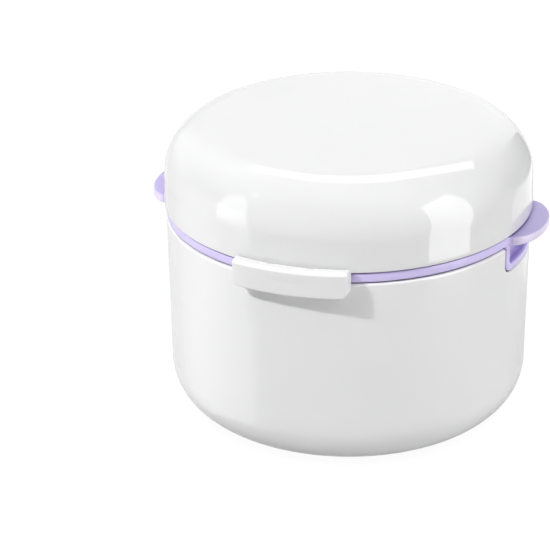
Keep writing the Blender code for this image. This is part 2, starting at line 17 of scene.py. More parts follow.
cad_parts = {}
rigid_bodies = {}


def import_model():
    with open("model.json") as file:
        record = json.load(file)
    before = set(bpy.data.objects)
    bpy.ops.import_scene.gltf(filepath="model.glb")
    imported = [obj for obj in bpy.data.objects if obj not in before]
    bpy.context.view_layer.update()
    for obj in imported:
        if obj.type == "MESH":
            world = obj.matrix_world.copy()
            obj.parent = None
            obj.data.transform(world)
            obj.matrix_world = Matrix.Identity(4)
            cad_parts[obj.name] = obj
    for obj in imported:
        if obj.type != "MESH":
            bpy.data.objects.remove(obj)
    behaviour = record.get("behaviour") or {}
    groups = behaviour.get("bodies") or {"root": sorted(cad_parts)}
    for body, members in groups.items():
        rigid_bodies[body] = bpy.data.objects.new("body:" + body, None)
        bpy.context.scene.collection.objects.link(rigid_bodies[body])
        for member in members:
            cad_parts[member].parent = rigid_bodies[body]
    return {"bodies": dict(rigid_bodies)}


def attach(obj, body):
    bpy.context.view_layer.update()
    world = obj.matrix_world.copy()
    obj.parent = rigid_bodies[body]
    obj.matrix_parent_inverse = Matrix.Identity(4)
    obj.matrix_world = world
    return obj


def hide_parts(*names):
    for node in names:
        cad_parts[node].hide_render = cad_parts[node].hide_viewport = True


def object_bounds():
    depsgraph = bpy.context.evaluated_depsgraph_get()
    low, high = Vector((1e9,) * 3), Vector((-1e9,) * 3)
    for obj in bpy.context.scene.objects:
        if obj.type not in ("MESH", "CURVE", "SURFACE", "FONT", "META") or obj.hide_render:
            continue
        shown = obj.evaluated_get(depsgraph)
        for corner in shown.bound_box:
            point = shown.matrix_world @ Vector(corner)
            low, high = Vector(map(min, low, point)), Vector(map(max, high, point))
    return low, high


MM = 0.001
FULL_TURN = 2 * math.pi

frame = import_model()
cad_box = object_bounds()
cad_size = [round((high - low) / MM, 1) for low, high in zip(*cad_box)]
print("measured box, mm:", cad_size)
for body in frame["bodies"]:
    print("body", body)

# %% [markdown]
# ## Camera
#
# The photograph was taken from a little above and to the right of the latch, with a long lens.
# One known point, the middle of the cup's rim, lands on one known pixel. From that point, the
# distance, the two angles and the roll, the camera's axes follow with plain vector sums.
# A long lens could also be placed by eye, but then the ellipses of the rim would never quite fit.

# %% Place the camera
FRAME_WIDTH = 550
FRAME_HEIGHT = 543
FOCAL_PIXELS = 2400.0
SENSOR = 36.0
RIM_HEIGHT = 50.6 * MM
RIM_PIXEL = (348.246, 207.108)
CAMERA_DISTANCE = 594.767 * MM
CAMERA_AZIMUTH = 16.81
CAMERA_ELEVATION = 23.33
CAMERA_ROLL = -0.124


def direction(azimuth, elevation):
    """A unit vector away from the case: azimuth 0 is the latch's side, 90 the right ear's."""
    turn = math.radians(azimuth)
    lift = math.radians(elevation)
    flat = math.cos(lift)
    return Vector((math.sin(turn) * flat, -math.cos(turn) * flat, math.sin(lift)))


def add_object(name, data):
    """An object for a camera, a lamp or a mesh, linked into the scene."""
    item = bpy.data.objects.new(name, data)
    bpy.context.scene.collection.objects.link(item)
    return item


def camera_axes(away):
    """Right, up and forward of a camera that sees the rim's middle at its pixel."""
    forward = -away
    right = forward.cross(Vector((0, 0, 1))).normalized()
    up = right.cross(forward)
    across = (RIM_PIXEL[0] - FRAME_WIDTH / 2) / FOCAL_PIXELS
    rise = -(RIM_PIXEL[1] - FRAME_HEIGHT / 2) / FOCAL_PIXELS
    ray = Vector((across, rise, 1.0)).normalized()
    yaw = math.atan2(ray.x, ray.z)
    pitch = math.asin(ray.y)
    roll = math.radians(CAMERA_ROLL)
    looking = Matrix((right, up, forward))
    rolled = Matrix(
        ((math.cos(roll), -math.sin(roll), 0), (math.sin(roll), math.cos(roll), 0), (0, 0, 1))
    )
    pitched = Matrix(
        ((1, 0, 0), (0, math.cos(pitch), math.sin(pitch)), (0, -math.sin(pitch), math.cos(pitch)))
    )
    yawed = Matrix(((math.cos(yaw), 0, math.sin(yaw)), (0, 1, 0), (-math.sin(yaw), 0, math.cos(yaw))))
    return yawed @ pitched @ rolled @ looking


rim_middle = Vector((0, 0, RIM_HEIGHT))
away = direction(CAMERA_AZIMUTH, CAMERA_ELEVATION)
axes = camera_axes(away)
camera_data = bpy.data.cameras.new("camera")
camera_data.sensor_width = SENSOR
camera_data.lens = FOCAL_PIXELS * SENSOR / FRAME_WIDTH
camera_data.clip_start = 0.01
camera_data.clip_end = 20.0
camera = add_object("camera", camera_data)
facing = Matrix((axes[0], axes[1], -axes[2])).transposed()
camera.matrix_world = Matrix.Translation(rim_middle + away * CAMERA_DISTANCE) @ facing.to_4x4()
bpy.context.scene.camera = camera
print("lens, mm:", round(camera_data.lens, 1))

# %% [markdown]
# ## Floor and room
#
# The case stands on a plain white sheet. The sheet is far brighter than the case in the
# photograph, so the camera sees it as white paper with a faint contact shadow, while the case
# itself is lit from below by an ordinary pale surface.

# %% Lay the floor
FLOOR_HALF = 3.0
FLOOR_DROP = 0.02 * MM
FLOOR_PALE = 0.69
FLOOR_ROUGHNESS = 0.7
CONTACT_REACH = 4 * MM
PAPER_IN_CORNER = 0.95
PAPER_IN_OPEN = 1.05


def new_material(name):
    """An empty material and its shader and output nodes."""
    material = bpy.data.materials.new(name)
    material.use_nodes = True
    tree = material.node_tree
    return material, tree, tree.nodes["Principled BSDF"], tree.nodes["Material Output"]


def add_node(tree, kind, **settings):
    """A node with its settings; a key that is a socket's name sets that socket."""
    node = tree.nodes.new(kind)
    for key, value in settings.items():
        if hasattr(node, key):
            setattr(node, key, value)
        else:
            node.inputs[key.replace("_", " ")].default_value = value
    return node


def link(tree, source, target):
    """One wire from an output socket to an input socket."""
    tree.links.new(source, target)


def link_all(tree, wires):
    """Wires as (node, output, node, input), with each socket by its name or number."""
    for source, leaving, target, entering in wires:
        link(tree, source.outputs[leaving], target.inputs[entering])


floor_material, tree, shader, output = new_material("white_sheet")
shader.inputs["Base Color"].default_value = (FLOOR_PALE, FLOOR_PALE, FLOOR_PALE, 1)
shader.inputs["Roughness"].default_value = FLOOR_ROUGHNESS
paper = add_node(tree, "ShaderNodeEmission")
corner_shade = add_node(tree, "ShaderNodeAmbientOcclusion", samples=16, Distance=CONTACT_REACH)
soften = add_node(tree, "ShaderNodeMapRange", To_Min=PAPER_IN_CORNER, To_Max=PAPER_IN_OPEN)
seen_by = add_node(tree, "ShaderNodeLightPath")
choose = add_node(tree, "ShaderNodeMixShader")
link_all(
    tree,
    [
        (corner_shade, "AO", soften, "Value"),
        (soften, "Result", paper, "Strength"),
        (seen_by, "Is Camera Ray", choose, "Fac"),
        (shader, "BSDF", choose, 1),
        (paper, "Emission", choose, 2),
        (choose, "Shader", output, "Surface"),
    ],
)

floor_corners = [(-1, -1), (1, -1), (1, 1), (-1, 1)]
floor_mesh = bpy.data.meshes.new("floor")
floor_mesh.from_pydata(
    [(x * FLOOR_HALF, y * FLOOR_HALF, -FLOOR_DROP) for x, y in floor_corners], [], [(0, 1, 2, 3)]
)
floor_mesh.materials.append(floor_material)
floor = add_object("floor", floor_mesh)
# In reflections the sheet would hide the low cards, so they look past it
floor.visible_glossy = False
print("floor sheet, m:", 2 * FLOOR_HALF)

# %% [markdown]
# ## Light
#
# One small lamp high on the left throws the shadow beside the latch, and two large soft ones
# fill from the sides. The rest is the room: broad patches of light from several directions,
# each fading with the angle from its middle. Even light from all round would be simpler, but the
# case's front, which faces the dark end of the room, would then be far too bright.

# %% Light the room
WHITE_PAPER = 1.1
PATCH_POWER = 8.0
# Azimuth, elevation and strength of each patch
PATCHES = (
    (90, 10, 1.4),
    (90, 45, 1.0),
    (90, -25, 1.1),
    (45, 45, 0.45),
    (45, -25, 0.25),
    (0, -25, 0.08),
    (-90, 45, 0.48),
    (-90, -25, 0.75),
    (-135, 45, 0.42),
    (-135, 10, 0.39),
    (-135, -25, 0.7),
    (180, 45, 0.26),
    (180, 10, 1.05),
    (180, -25, 0.34),
    (0, 90, 0.6),
    (135, 10, 0.33),
    (135, -25, 0.55),
)


def math_node(tree, operation, first, second):
    """A Math node; each input is a number or another node's output."""
    node = add_node(tree, "ShaderNodeMath", operation=operation)
    for socket, value in zip(node.inputs, (first, second)):
        if isinstance(value, (int, float)):
            socket.default_value = value
        else:
            link(tree, value, socket)
    return node.outputs[0]


def patch_of_light(tree, where, azimuth, elevation, strength):
    """A broad round patch of light about a direction."""
    facing = add_node(tree, "ShaderNodeVectorMath", operation="DOT_PRODUCT")
    facing.inputs[1].default_value = direction(azimuth, elevation)
    link(tree, where.outputs["Generated"], facing.inputs[0])
    ahead = math_node(tree, "MAXIMUM", facing.outputs["Value"], 0.0)
    shape = math_node(tree, "POWER", ahead, PATCH_POWER)
    return math_node(tree, "MULTIPLY", shape, strength)


world = bpy.data.worlds.new("room")
bpy.context.scene.world = world
world.use_nodes = True
world_tree = world.node_tree
background = world_tree.nodes["Background"]
background.inputs["Color"].default_value = (1, 1, 1, 1)
where = add_node(world_tree, "ShaderNodeTexCoord")
total = patch_of_light(world_tree, where, *PATCHES[0])
for patch in PATCHES[1:]:
    total = math_node(world_tree, "ADD", total, patch_of_light(world_tree, where, *patch))
seen_by = add_node(world_tree, "ShaderNodeLightPath")
level = add_node(world_tree, "ShaderNodeMix", B=WHITE_PAPER)
link(world_tree, seen_by.outputs["Is Camera Ray"], level.inputs["Factor"])
link(world_tree, total, level.inputs["A"])
link(world_tree, level.outputs["Result"], background.inputs["Strength"])
bpy.context.scene.view_settings.view_transform = "Standard"


def lamp(name, azimuth, elevation, distance, size, watts):
    """A square lamp that faces the middle of the case and shows in no reflection."""
    data = bpy.data.lights.new(name, "AREA")
    data.size = size
    data.energy = watts
    item = add_object(name, data)
    toward = direction(azimuth, elevation)
    item.matrix_world = Matrix.Translation(rim_middle + toward * distance) @ (
        toward.to_track_quat("Z", "Y").to_matrix().to_4x4()
    )
    item.visible_glossy = False


lamp("key_lamp", -35, 42, 1.5, 0.10, 12.6)
lamp("left_fill", -75, 30, 1.5, 0.5, 1.2)
lamp("right_fill", 60, 35, 1.5, 0.5, 0.6)
print("patches of light:", len(PATCHES))

# %% [markdown]
# ## Reflection cards
#
# A glossy lid shows what stands about it. The bright shapes seen in the real lid are built as
# cards: each is a part of a large sphere round the case, given by the directions that it covers,
# so a reflection's outline can be read straight off as angles. Cards show in reflections and
# give no other light. One of them is dim and hides the room from the lid's right shoulder.
# Their glow adds to the room behind them, apart from that one, which stands in its way.

# %% Stand the reflection cards
CARD_DISTANCE = 4.0


def card_material(name, radiance, fade, hides_room):
    """A glow that may fade with the angle from a direction: (azimuth, elevation, dark, full)."""
    material = bpy.data.materials.new(name)
    material.use_nodes = True
    tree = material.node_tree
    tree.nodes.clear()
    glow = add_node(tree, "ShaderNodeEmission", Strength=radiance)
    output = add_node(tree, "ShaderNodeOutputMaterial")
    if hides_room:
        link_all(tree, [(glow, "Emission", output, "Surface")])
    else:
        clear = add_node(tree, "ShaderNodeBsdfTransparent")
        both = add_node(tree, "ShaderNodeAddShader")
        link_all(
            tree,
            [
                (glow, "Emission", both, 0),
                (clear, "BSDF", both, 1),
                (both, "Shader", output, "Surface"),
            ],
        )
    if fade:
        azimuth, elevation, dark, full = fade
        where = add_node(tree, "ShaderNodeTexCoord")
        away_from = add_node(tree, "ShaderNodeVectorMath", operation="NORMALIZE")
        facing = add_node(tree, "ShaderNodeVectorMath", operation="DOT_PRODUCT")
        facing.inputs[1].default_value = direction(azimuth, elevation)
        ramp = add_node(
            tree,
            "ShaderNodeMapRange",
            interpolation_type="SMOOTHSTEP",
            From_Min=math.cos(math.radians(dark)),
            From_Max=math.cos(math.radians(full)),
            To_Max=radiance,
        )
        link_all(
            tree,
            [
                (where, "Object", away_from, 0),
                (away_from, "Vector", facing, 0),
                (facing, "Value", ramp, "Value"),
                (ramp, "Result", glow, "Strength"),
            ],
        )
    return material


def card(name, lower, upper, radiance, fade=None, hides_room=False):
    """A patch between two edges, each a list of directions as (azimuth, elevation)."""
    points = []
    for low, high in zip(lower, upper):
        points += [direction(*low), direction(*high)]
    mesh = bpy.data.meshes.new(name)
    mesh.from_pydata(
        [rim_middle + point * CARD_DISTANCE for point in points],
        [],
        [(2 * i, 2 * i + 2, 2 * i + 3, 2 * i + 1) for i in range(len(lower) - 1)],
    )
    mesh.materials.append(card_material(name, radiance, fade, hides_room))
    item = add_object(name, mesh)
    item.visible_camera = False
    item.visible_diffuse = False
    item.visible_shadow = False
    item.visible_transmission = False


def upright(azimuths, lower, upper):
    """The two edges of a patch with upright sides, from heights at each azimuth."""
    return list(zip(azimuths, lower)), list(zip(azimuths, upper))


card("right_window", *upright([66.5, 76, 86, 96], [-24.5] * 4, [37, 41, 43, 45]), 3.5)
card(
    "left_window",
    *upright([-68, -63, -57, -51, -46], [-20] * 5, [27, 38, 33, 28, 9]),
    2.5,
    (-57, 90, 109, 95),
)
card("left_wall", *upright(range(-135, -44, 6), [-45] * 16, [9] * 16), 1.4, (-45, -20, 74, 8))
card("left_dot", [(-63.3, 46), (-55, 38.8)], [(-62.5, 49.6), (-54, 43)], 3.0)
card("left_back_wall", *upright(range(-140, -107, 8), [0] * 5, [52] * 5), 0.5)
card("front_room", *upright(range(-45, 67, 10), [-17] * 12, [30] * 12), 0.5)
card(
    "rear_strip",
    [(-132, 51.5), (-140.5, 56), (-148, 63), (-162, 67), (-181, 65), (-190, 58), (-200, 53), (-212, 43)],
    [(-149, 40.4), (-155, 40), (-157.5, 43), (-163, 44), (-168, 42), (-172, 41), (-180, 43), (-194, 41)],
    3.0,
)
card(
    "dark_panel",
    *upright(
        [125, 136, 147, 157, 164, 170, 177],
        [11, -8, -11, -13, -14, -15, -16],
        [14, 24, 27, 30, 21, 8, -6],
    ),
    0.35,
    hides_room=True,
)
card("below_panel", *upright([137, 150, 165, 177], [-25] * 4, [-8, -12, -15, -17]), 0.6)
print("cards:", CARD_DISTANCE, "m away")

# %% [markdown]
# ## Surfaces from rings of points
#
# Most of this object is moulded plastic that runs round an upright axis. A ring of points for
# each height, joined to the next ring with four-sided faces, gives such a wall with as much
# detail as its edges need. Subdivision of a coarse cage would also work, but its edges would
# not stay on the measured radii. The rings run anticlockwise seen from above, and climb the
# outside before they come down the inside, so all faces point outwards.

# %% Join rings into a skin


def skin(name, rings, closed_ends=True):
    """Four-sided faces between rings; an end ring may shrink to a middle point."""
    rings = np.asarray(rings)
    rows, columns = rings.shape[:2]
    verts = rings.reshape(-1, 3)
    faces = []
    for row in range(rows - 1):
        for column in range(columns):
            beside = (column + 1) % columns
            faces.append(
                (
                    row * columns + column,
                    row * columns + beside,
                    (row + 1) * columns + beside,
                    (row + 1) * columns + column,
                )
            )
    if closed_ends:
        first, last = len(verts), len(verts) + 1
        verts = np.vstack([verts, rings[0].mean(axis=0), rings[-1].mean(axis=0)])
        for column in range(columns):
            beside = (column + 1) % columns
            faces.append((first, beside, column))
            faces.append((last, (rows - 1) * columns + column, (rows - 1) * columns + beside))
    mesh = bpy.data.meshes.new(name)
    mesh.from_pydata(verts.tolist(), [], faces)
    mesh.shade_smooth()
    return mesh


def arc(centre, radius, start, end, steps):
    """Points on a round corner, from one angle in degrees to another."""
    angles = np.radians(np.linspace(start, end, steps + 1))
    return [(centre[0] + radius * math.cos(a), centre[1] + radius * math.sin(a)) for a in angles]


def line(start, end, steps):
    """Even points on a straight run, without its last one."""
    return [tuple(point) for point in np.linspace(start, end, steps + 1)[:-1]]


def both_sides(half):
    """A path from the middle outwards, with its mirror image before it."""
    return np.array([(-across, up) for across, up in half[:0:-1]] + half)


def closed_by_mirror(half):
    """A closed outline from its right half, which begins and ends in the middle."""
    return np.array(half + [(-across, up) for across, up in half[-2:0:-1]])


def left_of(run):
    """Unit normals to the left of a row of steps."""
    left = np.stack([-run[:, 1], run[:, 0]], axis=1)
    return left / np.linalg.norm(left, axis=1)[:, None]


def closed_run(outline):
    """The step across each point of a closed outline, from its neighbour to the next."""
    return np.roll(outline, -1, axis=0) - np.roll(outline, 1, axis=0)


print("skin test faces:", len(skin("test", [[(1, 0, 0), (0, 1, 0), (-1, -1, 0)]] * 2).polygons))
bpy.data.meshes.remove(bpy.data.meshes["test"])

# %% [markdown]
# ## Small blocks with soft edges
#
# Hinge lugs and the like are short solid blocks. A flat outline is given thickness along X, and
# a Bevel modifier rounds its edges as a mould would. Where a block only cuts or joins another
# mesh, a Boolean modifier takes it, and the result is made a plain mesh straight away.

# %% Make a soft block
BLOCK_EDGE = 0.2 * MM
BEVEL_STEPS = 3
SHARP_TURN = math.radians(35)


def apply_modifiers(name, mesh, set_up):
    """The mesh as it comes out of the modifiers that set_up puts on it."""
    item = add_object(name + "_work", mesh)
    set_up(item)
    depsgraph = bpy.context.evaluated_depsgraph_get()
    result = bpy.data.meshes.new_from_object(item.evaluated_get(depsgraph))
    bpy.data.objects.remove(item, do_unlink=True)
    result.name = name
    return result


def prism(name, outline, sections):
    """An outline of (y, z) points, anticlockwise from +X, made solid along X."""
    count = len(outline)
    verts = [(x, y, z) for x in sections for y, z in outline]
    last = (len(sections) - 1) * count
    faces = [tuple(range(count))[::-1], tuple(range(last, last + count))]
    for near in range(0, last, count):
        for i in range(count):
            j = (i + 1) % count
            faces.append((near + i, near + j, near + count + j, near + count + i))
    mesh = bpy.data.meshes.new(name)
    mesh.from_pydata(verts, [], faces)
    mesh.shade_smooth()
    return mesh


def block(name, outline, low, high, edge=BLOCK_EDGE):
    """A prism with rounded edges; two more sections keep its long sides flat in the shading."""

    def soft_edges(item):
        bevel = item.modifiers.new("soft_edges", "BEVEL")
        bevel.width = edge
        bevel.segments = BEVEL_STEPS
        bevel.limit_method = "ANGLE"
        bevel.angle_limit = SHARP_TURN

    sections = (low, low + 2 * edge, high - 2 * edge, high)
    return apply_modifiers(name, prism(name, outline, sections), soft_edges)


def combine(name, mesh, steps):
    """The mesh after a row of Booleans, each given as an operation and a tool mesh."""
    tools = []

    def booleans(item):
        for operation, tool in steps:
            tool_item = add_object(tool.name + "_tool", tool)
            tools.append(tool_item)
            boolean = item.modifiers.new(tool.name, "BOOLEAN")
            boolean.operation = operation
            boolean.object = tool_item

    result = apply_modifiers(name, mesh, booleans)
    for tool_item in tools:
        bpy.data.objects.remove(tool_item, do_unlink=True)
    return result


def swept_bar(name, section, start, end, steps):
    """A section of (radius, height) points, anticlockwise, swept about the case's axis."""
    rings = []
    for turn in np.radians(np.linspace(start, end, steps + 1)):
        rings.append([(r * math.cos(turn), r * math.sin(turn), z) for r, z in section[::-1]])
    return skin(name, rings)


# %% Join meshes into one finished piece


def piece(name, meshes, material, body, node):
    """One object of one or more closed meshes that rides on its body in place of a node."""
    verts, faces = [], []
    for mesh in meshes:
        start = len(verts)
        verts += [vert.co[:] for vert in mesh.vertices]
        faces += [[start + index for index in polygon.vertices] for polygon in mesh.polygons]
    joined = bpy.data.meshes.new(name)
    joined.from_pydata(verts, [], faces)
    joined.shade_smooth()
    joined.set_sharp_from_angle(angle=SHARP_TURN)
    joined.materials.append(material)
    for mesh in meshes:
        bpy.data.meshes.remove(mesh)
    item = add_object(name, joined)
    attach(item, body)
    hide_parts(node)
    size = [round(side / MM, 2) for side in item.dimensions]
    print(name, "faces:", len(joined.polygons), "size, mm:", size)


# %% [markdown]
# ## A tree that turns a profile
#
# The lid and the two hinge pins are turned shapes: one profile swung all the way round. A Screw
# modifier does that too. Here Geometry Nodes do it with a named number of steps: a grid has one
# row for each point of the profile and one column for each step, and each of its points is read
# from the profile and turned by its column's angle. The seam and the poles are then merged.

# %% Build the turning tree
MERGE_REACH = 0.0005 * MM


def finish_tree(tree, surface, start):
    """Ends a tree with smooth shading, real meshes and the material."""
    smooth = add_node(tree, "GeometryNodeSetShadeSmooth")
    real = add_node(tree, "GeometryNodeRealizeInstances")
    paint = add_node(tree, "GeometryNodeSetMaterial")
    end = add_node(tree, "NodeGroupOutput")
    link(tree, surface, smooth.inputs["Geometry"])
    link_all(
        tree,
        [
            (smooth, "Geometry", real, "Geometry"),
            (real, "Geometry", paint, "Geometry"),
            (start, "Material", paint, "Material"),
            (paint, "Geometry", end, 0),
        ],
    )


def new_tree(name, counts):
    """A geometry tree with a mesh, whole numbers by name and a material as inputs."""
    tree = bpy.data.node_groups.new(name, "GeometryNodeTree")
    tree.interface.new_socket("Mesh", in_out="INPUT", socket_type="NodeSocketGeometry")
    sockets = {}
    for count in counts:
        sockets[count] = tree.interface.new_socket(
            count, in_out="INPUT", socket_type="NodeSocketInt"
        )
    sockets["Material"] = tree.interface.new_socket(
        "Material", in_out="INPUT", socket_type="NodeSocketMaterial"
    )
    tree.interface.new_socket("Mesh", in_out="OUTPUT", socket_type="NodeSocketGeometry")
    return tree, {key: socket.identifier for key, socket in sockets.items()}


turning_tree, turning_inputs = new_tree("turned_profile", ["Steps"])
start = add_node(turning_tree, "NodeGroupInput")
profile_size = add_node(turning_tree, "GeometryNodeAttributeDomainSize")
grid = add_node(turning_tree, "GeometryNodeMeshGrid")
index = add_node(turning_tree, "GeometryNodeInputIndex")
place = add_node(turning_tree, "GeometryNodeInputPosition")
sample = add_node(turning_tree, "GeometryNodeSampleIndex", data_type="FLOAT_VECTOR")
swing = add_node(turning_tree, "ShaderNodeVectorRotate", rotation_type="Z_AXIS")
move = add_node(turning_tree, "GeometryNodeSetPosition")
merge = add_node(turning_tree, "GeometryNodeMergeByDistance", Distance=MERGE_REACH)
steps = start.outputs["Steps"]
columns = math_node(turning_tree, "ADD", steps, 1.0)
middle_of = math_node(turning_tree, "ADD", index.outputs[0], 0.5)
row = math_node(turning_tree, "FLOOR", math_node(turning_tree, "DIVIDE", middle_of, columns), 0.0)
before = math_node(turning_tree, "MULTIPLY", row, columns)
column = math_node(turning_tree, "SUBTRACT", index.outputs[0], before)
share = math_node(turning_tree, "DIVIDE", column, steps)
angle = math_node(turning_tree, "MULTIPLY", share, FULL_TURN)
link(turning_tree, columns, grid.inputs["Vertices Y"])
link(turning_tree, row, sample.inputs["Index"])
link(turning_tree, angle, swing.inputs["Angle"])
link_all(
    turning_tree,
    [
        (start, "Mesh", profile_size, "Geometry"),
        (profile_size, "Point Count", grid, "Vertices X"),
        (start, "Mesh", sample, "Geometry"),
        (place, "Position", sample, "Value"),
        (sample, "Value", swing, "Vector"),
        (grid, "Mesh", move, "Geometry"),
        (swing, "Vector", move, "Position"),
        (move, "Geometry", merge, "Geometry"),
    ],
)
finish_tree(turning_tree, merge.outputs["Geometry"], start)


def run_tree(name, tree, inputs, mesh, **values):
    """The plain mesh that a tree makes of a mesh, with its inputs set by identifier."""

    def set_up(item):
        nodes = item.modifiers.new(tree.name, "NODES")
        nodes.node_group = tree
        for key, value in values.items():
            nodes[inputs[key]] = value

    return apply_modifiers(name, mesh, set_up)


def turned(name, profile, steps, material):
    """A profile of (radius, height) points, from the top of the axis outwards and down."""
    mesh = bpy.data.meshes.new(name)
    edges = [(i, i + 1) for i in range(len(profile) - 1)]
    mesh.from_pydata([(radius, 0.0, height) for radius, height in profile], edges, [])
    return run_tree(name, turning_tree, turning_inputs, mesh, Steps=steps, Material=material)


print("turning tree nodes:", len(turning_tree.nodes))

# %% [markdown]
# ## Effects that the finishes share
#
# All the plastic here is injection moulded, so its finishes share three faint effects. The
# first is a slow mottle: the colour and the gloss drift a little over a centimetre or two, as
# if the melt had cooled unevenly. The second is the skin of the mould, a very fine grain. The
# third is painted shade: it finds narrow gaps and hollows, where little light gets in, and
# darkens the colour there.
# Each effect is one shader node group, so that every material can place it with its own size.
# Image textures could do the same, but would need maps and would blur close up.

# %% Build the shared shader groups


def new_group(name, inputs, outputs):
    """A shader group with number inputs and outputs, and its two end nodes."""
    group = bpy.data.node_groups.new(name, "ShaderNodeTree")
    for label in inputs:
        group.interface.new_socket(label, in_out="INPUT", socket_type="NodeSocketFloat")
    for label, kind in outputs.items():
        group.interface.new_socket(label, in_out="OUTPUT", socket_type=kind)
    return group, add_node(group, "NodeGroupInput"), add_node(group, "NodeGroupOutput")


# Mottle: a slow drift of a value about a middle
mottle_group, start, end = new_group(
    "moulded_mottle", ["Middle", "Spread", "Scale"], {"Value": "NodeSocketFloat"}
)
where = add_node(mottle_group, "ShaderNodeTexCoord")
noise = add_node(mottle_group, "ShaderNodeTexNoise", Detail=3.0)
centred = math_node(mottle_group, "SUBTRACT", noise.outputs["Fac"], 0.5)
spread = math_node(mottle_group, "MULTIPLY", centred, start.outputs["Spread"])
value = math_node(mottle_group, "ADD", spread, start.outputs["Middle"])
link(mottle_group, where.outputs["Object"], noise.inputs["Vector"])
link(mottle_group, start.outputs["Scale"], noise.inputs["Scale"])
link(mottle_group, value, end.inputs["Value"])

# Mould skin: a fine grain and a slow waviness as one height
skin_group, start, end = new_group(
    "mould_skin", ["Grain Scale", "Grain", "Wave Scale", "Wave"], {"Height": "NodeSocketFloat"}
)
where = add_node(skin_group, "ShaderNodeTexCoord")
grain = add_node(skin_group, "ShaderNodeTexNoise", Detail=2.0)
wave = add_node(skin_group, "ShaderNodeTexNoise", Detail=1.0)
link_all(
    skin_group,
    [
        (where, "Object", grain, "Vector"),
        (where, "Object", wave, "Vector"),
        (start, "Grain Scale", grain, "Scale"),
        (start, "Wave Scale", wave, "Scale"),
    ],
)
grain_height = math_node(skin_group, "MULTIPLY", grain.outputs["Fac"], start.outputs["Grain"])
wave_height = math_node(skin_group, "MULTIPLY", wave.outputs["Fac"], start.outputs["Wave"])
height = math_node(skin_group, "ADD", grain_height, wave_height)
link(skin_group, height, end.inputs["Height"])

# Hollows: 1 deep in a gap and 0 in the open, from how much a surface is closed in; it masks painted
# shade
hollow_shade_group, start, end = new_group(
    "hollows", ["Reach", "Closed", "Open"], {"Mask": "NodeSocketFloat"}
)
closed_in = add_node(hollow_shade_group, "ShaderNodeAmbientOcclusion", samples=8)
mask = add_node(
    hollow_shade_group, "ShaderNodeMapRange", interpolation_type="SMOOTHSTEP", To_Min=1.0, To_Max=0.0
)
link_all(
    hollow_shade_group,
    [
        (start, "Reach", closed_in, "Distance"),
        (start, "Closed", mask, "From Min"),
        (start, "Open", mask, "From Max"),
        (closed_in, "AO", mask, "Value"),
        (mask, "Result", end, "Mask"),
    ],
)
print("shader groups:", mottle_group.name, skin_group.name, hollow_shade_group.name)

# %% [markdown]
# ## Moulded plastic
#
# The lid is a high-gloss white, the cup a little softer, the latch satin, and the basket a
# satin lavender coloured through. They differ only in colour, gloss and grain, so one function
# makes them all. The colour runs between two near shades through the mottle, the roughness
# drifts by a few hundredths at most, and the mould's skin is a Bump of a few micrometres. In
# narrow gaps the colour sinks to a dark painted shade, which draws the seams as thin lines.

# %% Make the moulded finishes
MOTTLE_SCALE = 55.0
GLOSS_SCALE = 90.0
GRAIN_SCALE = 2600.0
WAVE_SCALE = 160.0
MICRON = 1e-6
WAVE_HEIGHT = 2.0 * MICRON
SHADE_MIDDLE = 0.5
SHADE_SPREAD = 1.6


def place_group(tree, group, **values):
    """A shader group placed in a material with its inputs' values."""
    return add_node(tree, "ShaderNodeGroup", node_tree=group, **values)


def tint(tree, shader, colour, mask, blend="MIX"):
    """Mixes one more colour over the base colour where a mask says so."""
    before = shader.inputs["Base Color"].links[0].from_socket
    mix = add_node(tree, "ShaderNodeMix", data_type="RGBA", blend_type=blend, B=(*colour, 1))
    link(tree, before, mix.inputs["A"])
    link(tree, mask, mix.inputs["Factor"])
    link(tree, mix.outputs["Result"], shader.inputs["Base Color"])


def moulded(name, pale, deep, roughness, gloss_spread, grain):
    """A moulded plastic between two shades; grain is the height of its texture in metres."""
    material, tree, shader, _ = new_material(name)
    shade = place_group(
        tree, mottle_group, Middle=SHADE_MIDDLE, Spread=SHADE_SPREAD, Scale=MOTTLE_SCALE
    )
    mix = add_node(tree, "ShaderNodeMix", data_type="RGBA", A=(*deep, 1), B=(*pale, 1))
    gloss = place_group(
        tree, mottle_group, Middle=roughness, Spread=gloss_spread, Scale=GLOSS_SCALE
    )
    surface = place_group(
        tree,
        skin_group,
        Grain_Scale=GRAIN_SCALE,
        Grain=grain,
        Wave_Scale=WAVE_SCALE,
        Wave=WAVE_HEIGHT,
    )
    bump = add_node(tree, "ShaderNodeBump", Distance=1.0)
    link_all(
        tree,
        [
            (shade, "Value", mix, "Factor"),
            (mix, "Result", shader, "Base Color"),
            (gloss, "Value", shader, "Roughness"),
            (surface, "Height", bump, "Height"),
            (bump, "Normal", shader, "Normal"),
        ],
    )
    print(name, "nodes:", len(tree.nodes))
    return material


def paint_shade_in_hollows(material, colour, reach, closed, open_air):
    """Paints shade: multiplies the base colour down in gaps up to about the reach wide."""
    tree = material.node_tree
    hollow = place_group(tree, hollow_shade_group, Reach=reach, Closed=closed, Open=open_air)
    tint(tree, tree.nodes["Principled BSDF"], colour, hollow.outputs["Mask"], "MULTIPLY")


lid_white = moulded(
    "lid_gloss_white", (0.85, 0.85, 0.852), (0.832, 0.834, 0.838), 0.04, 0.02, 0.05 * MICRON
)
cup_white = moulded(
    "cup_satin_white", (0.885, 0.885, 0.885), (0.865, 0.867, 0.87), 0.16, 0.03, 0.4 * MICRON
)
latch_white = moulded(
    "latch_satin_white", (0.86, 0.86, 0.86), (0.845, 0.845, 0.85), 0.32, 0.06, 0.5 * MICRON
)
lavender = moulded(
    "basket_lavender", (0.575, 0.50, 0.87), (0.54, 0.47, 0.835), 0.3, 0.06, 0.4 * MICRON
)
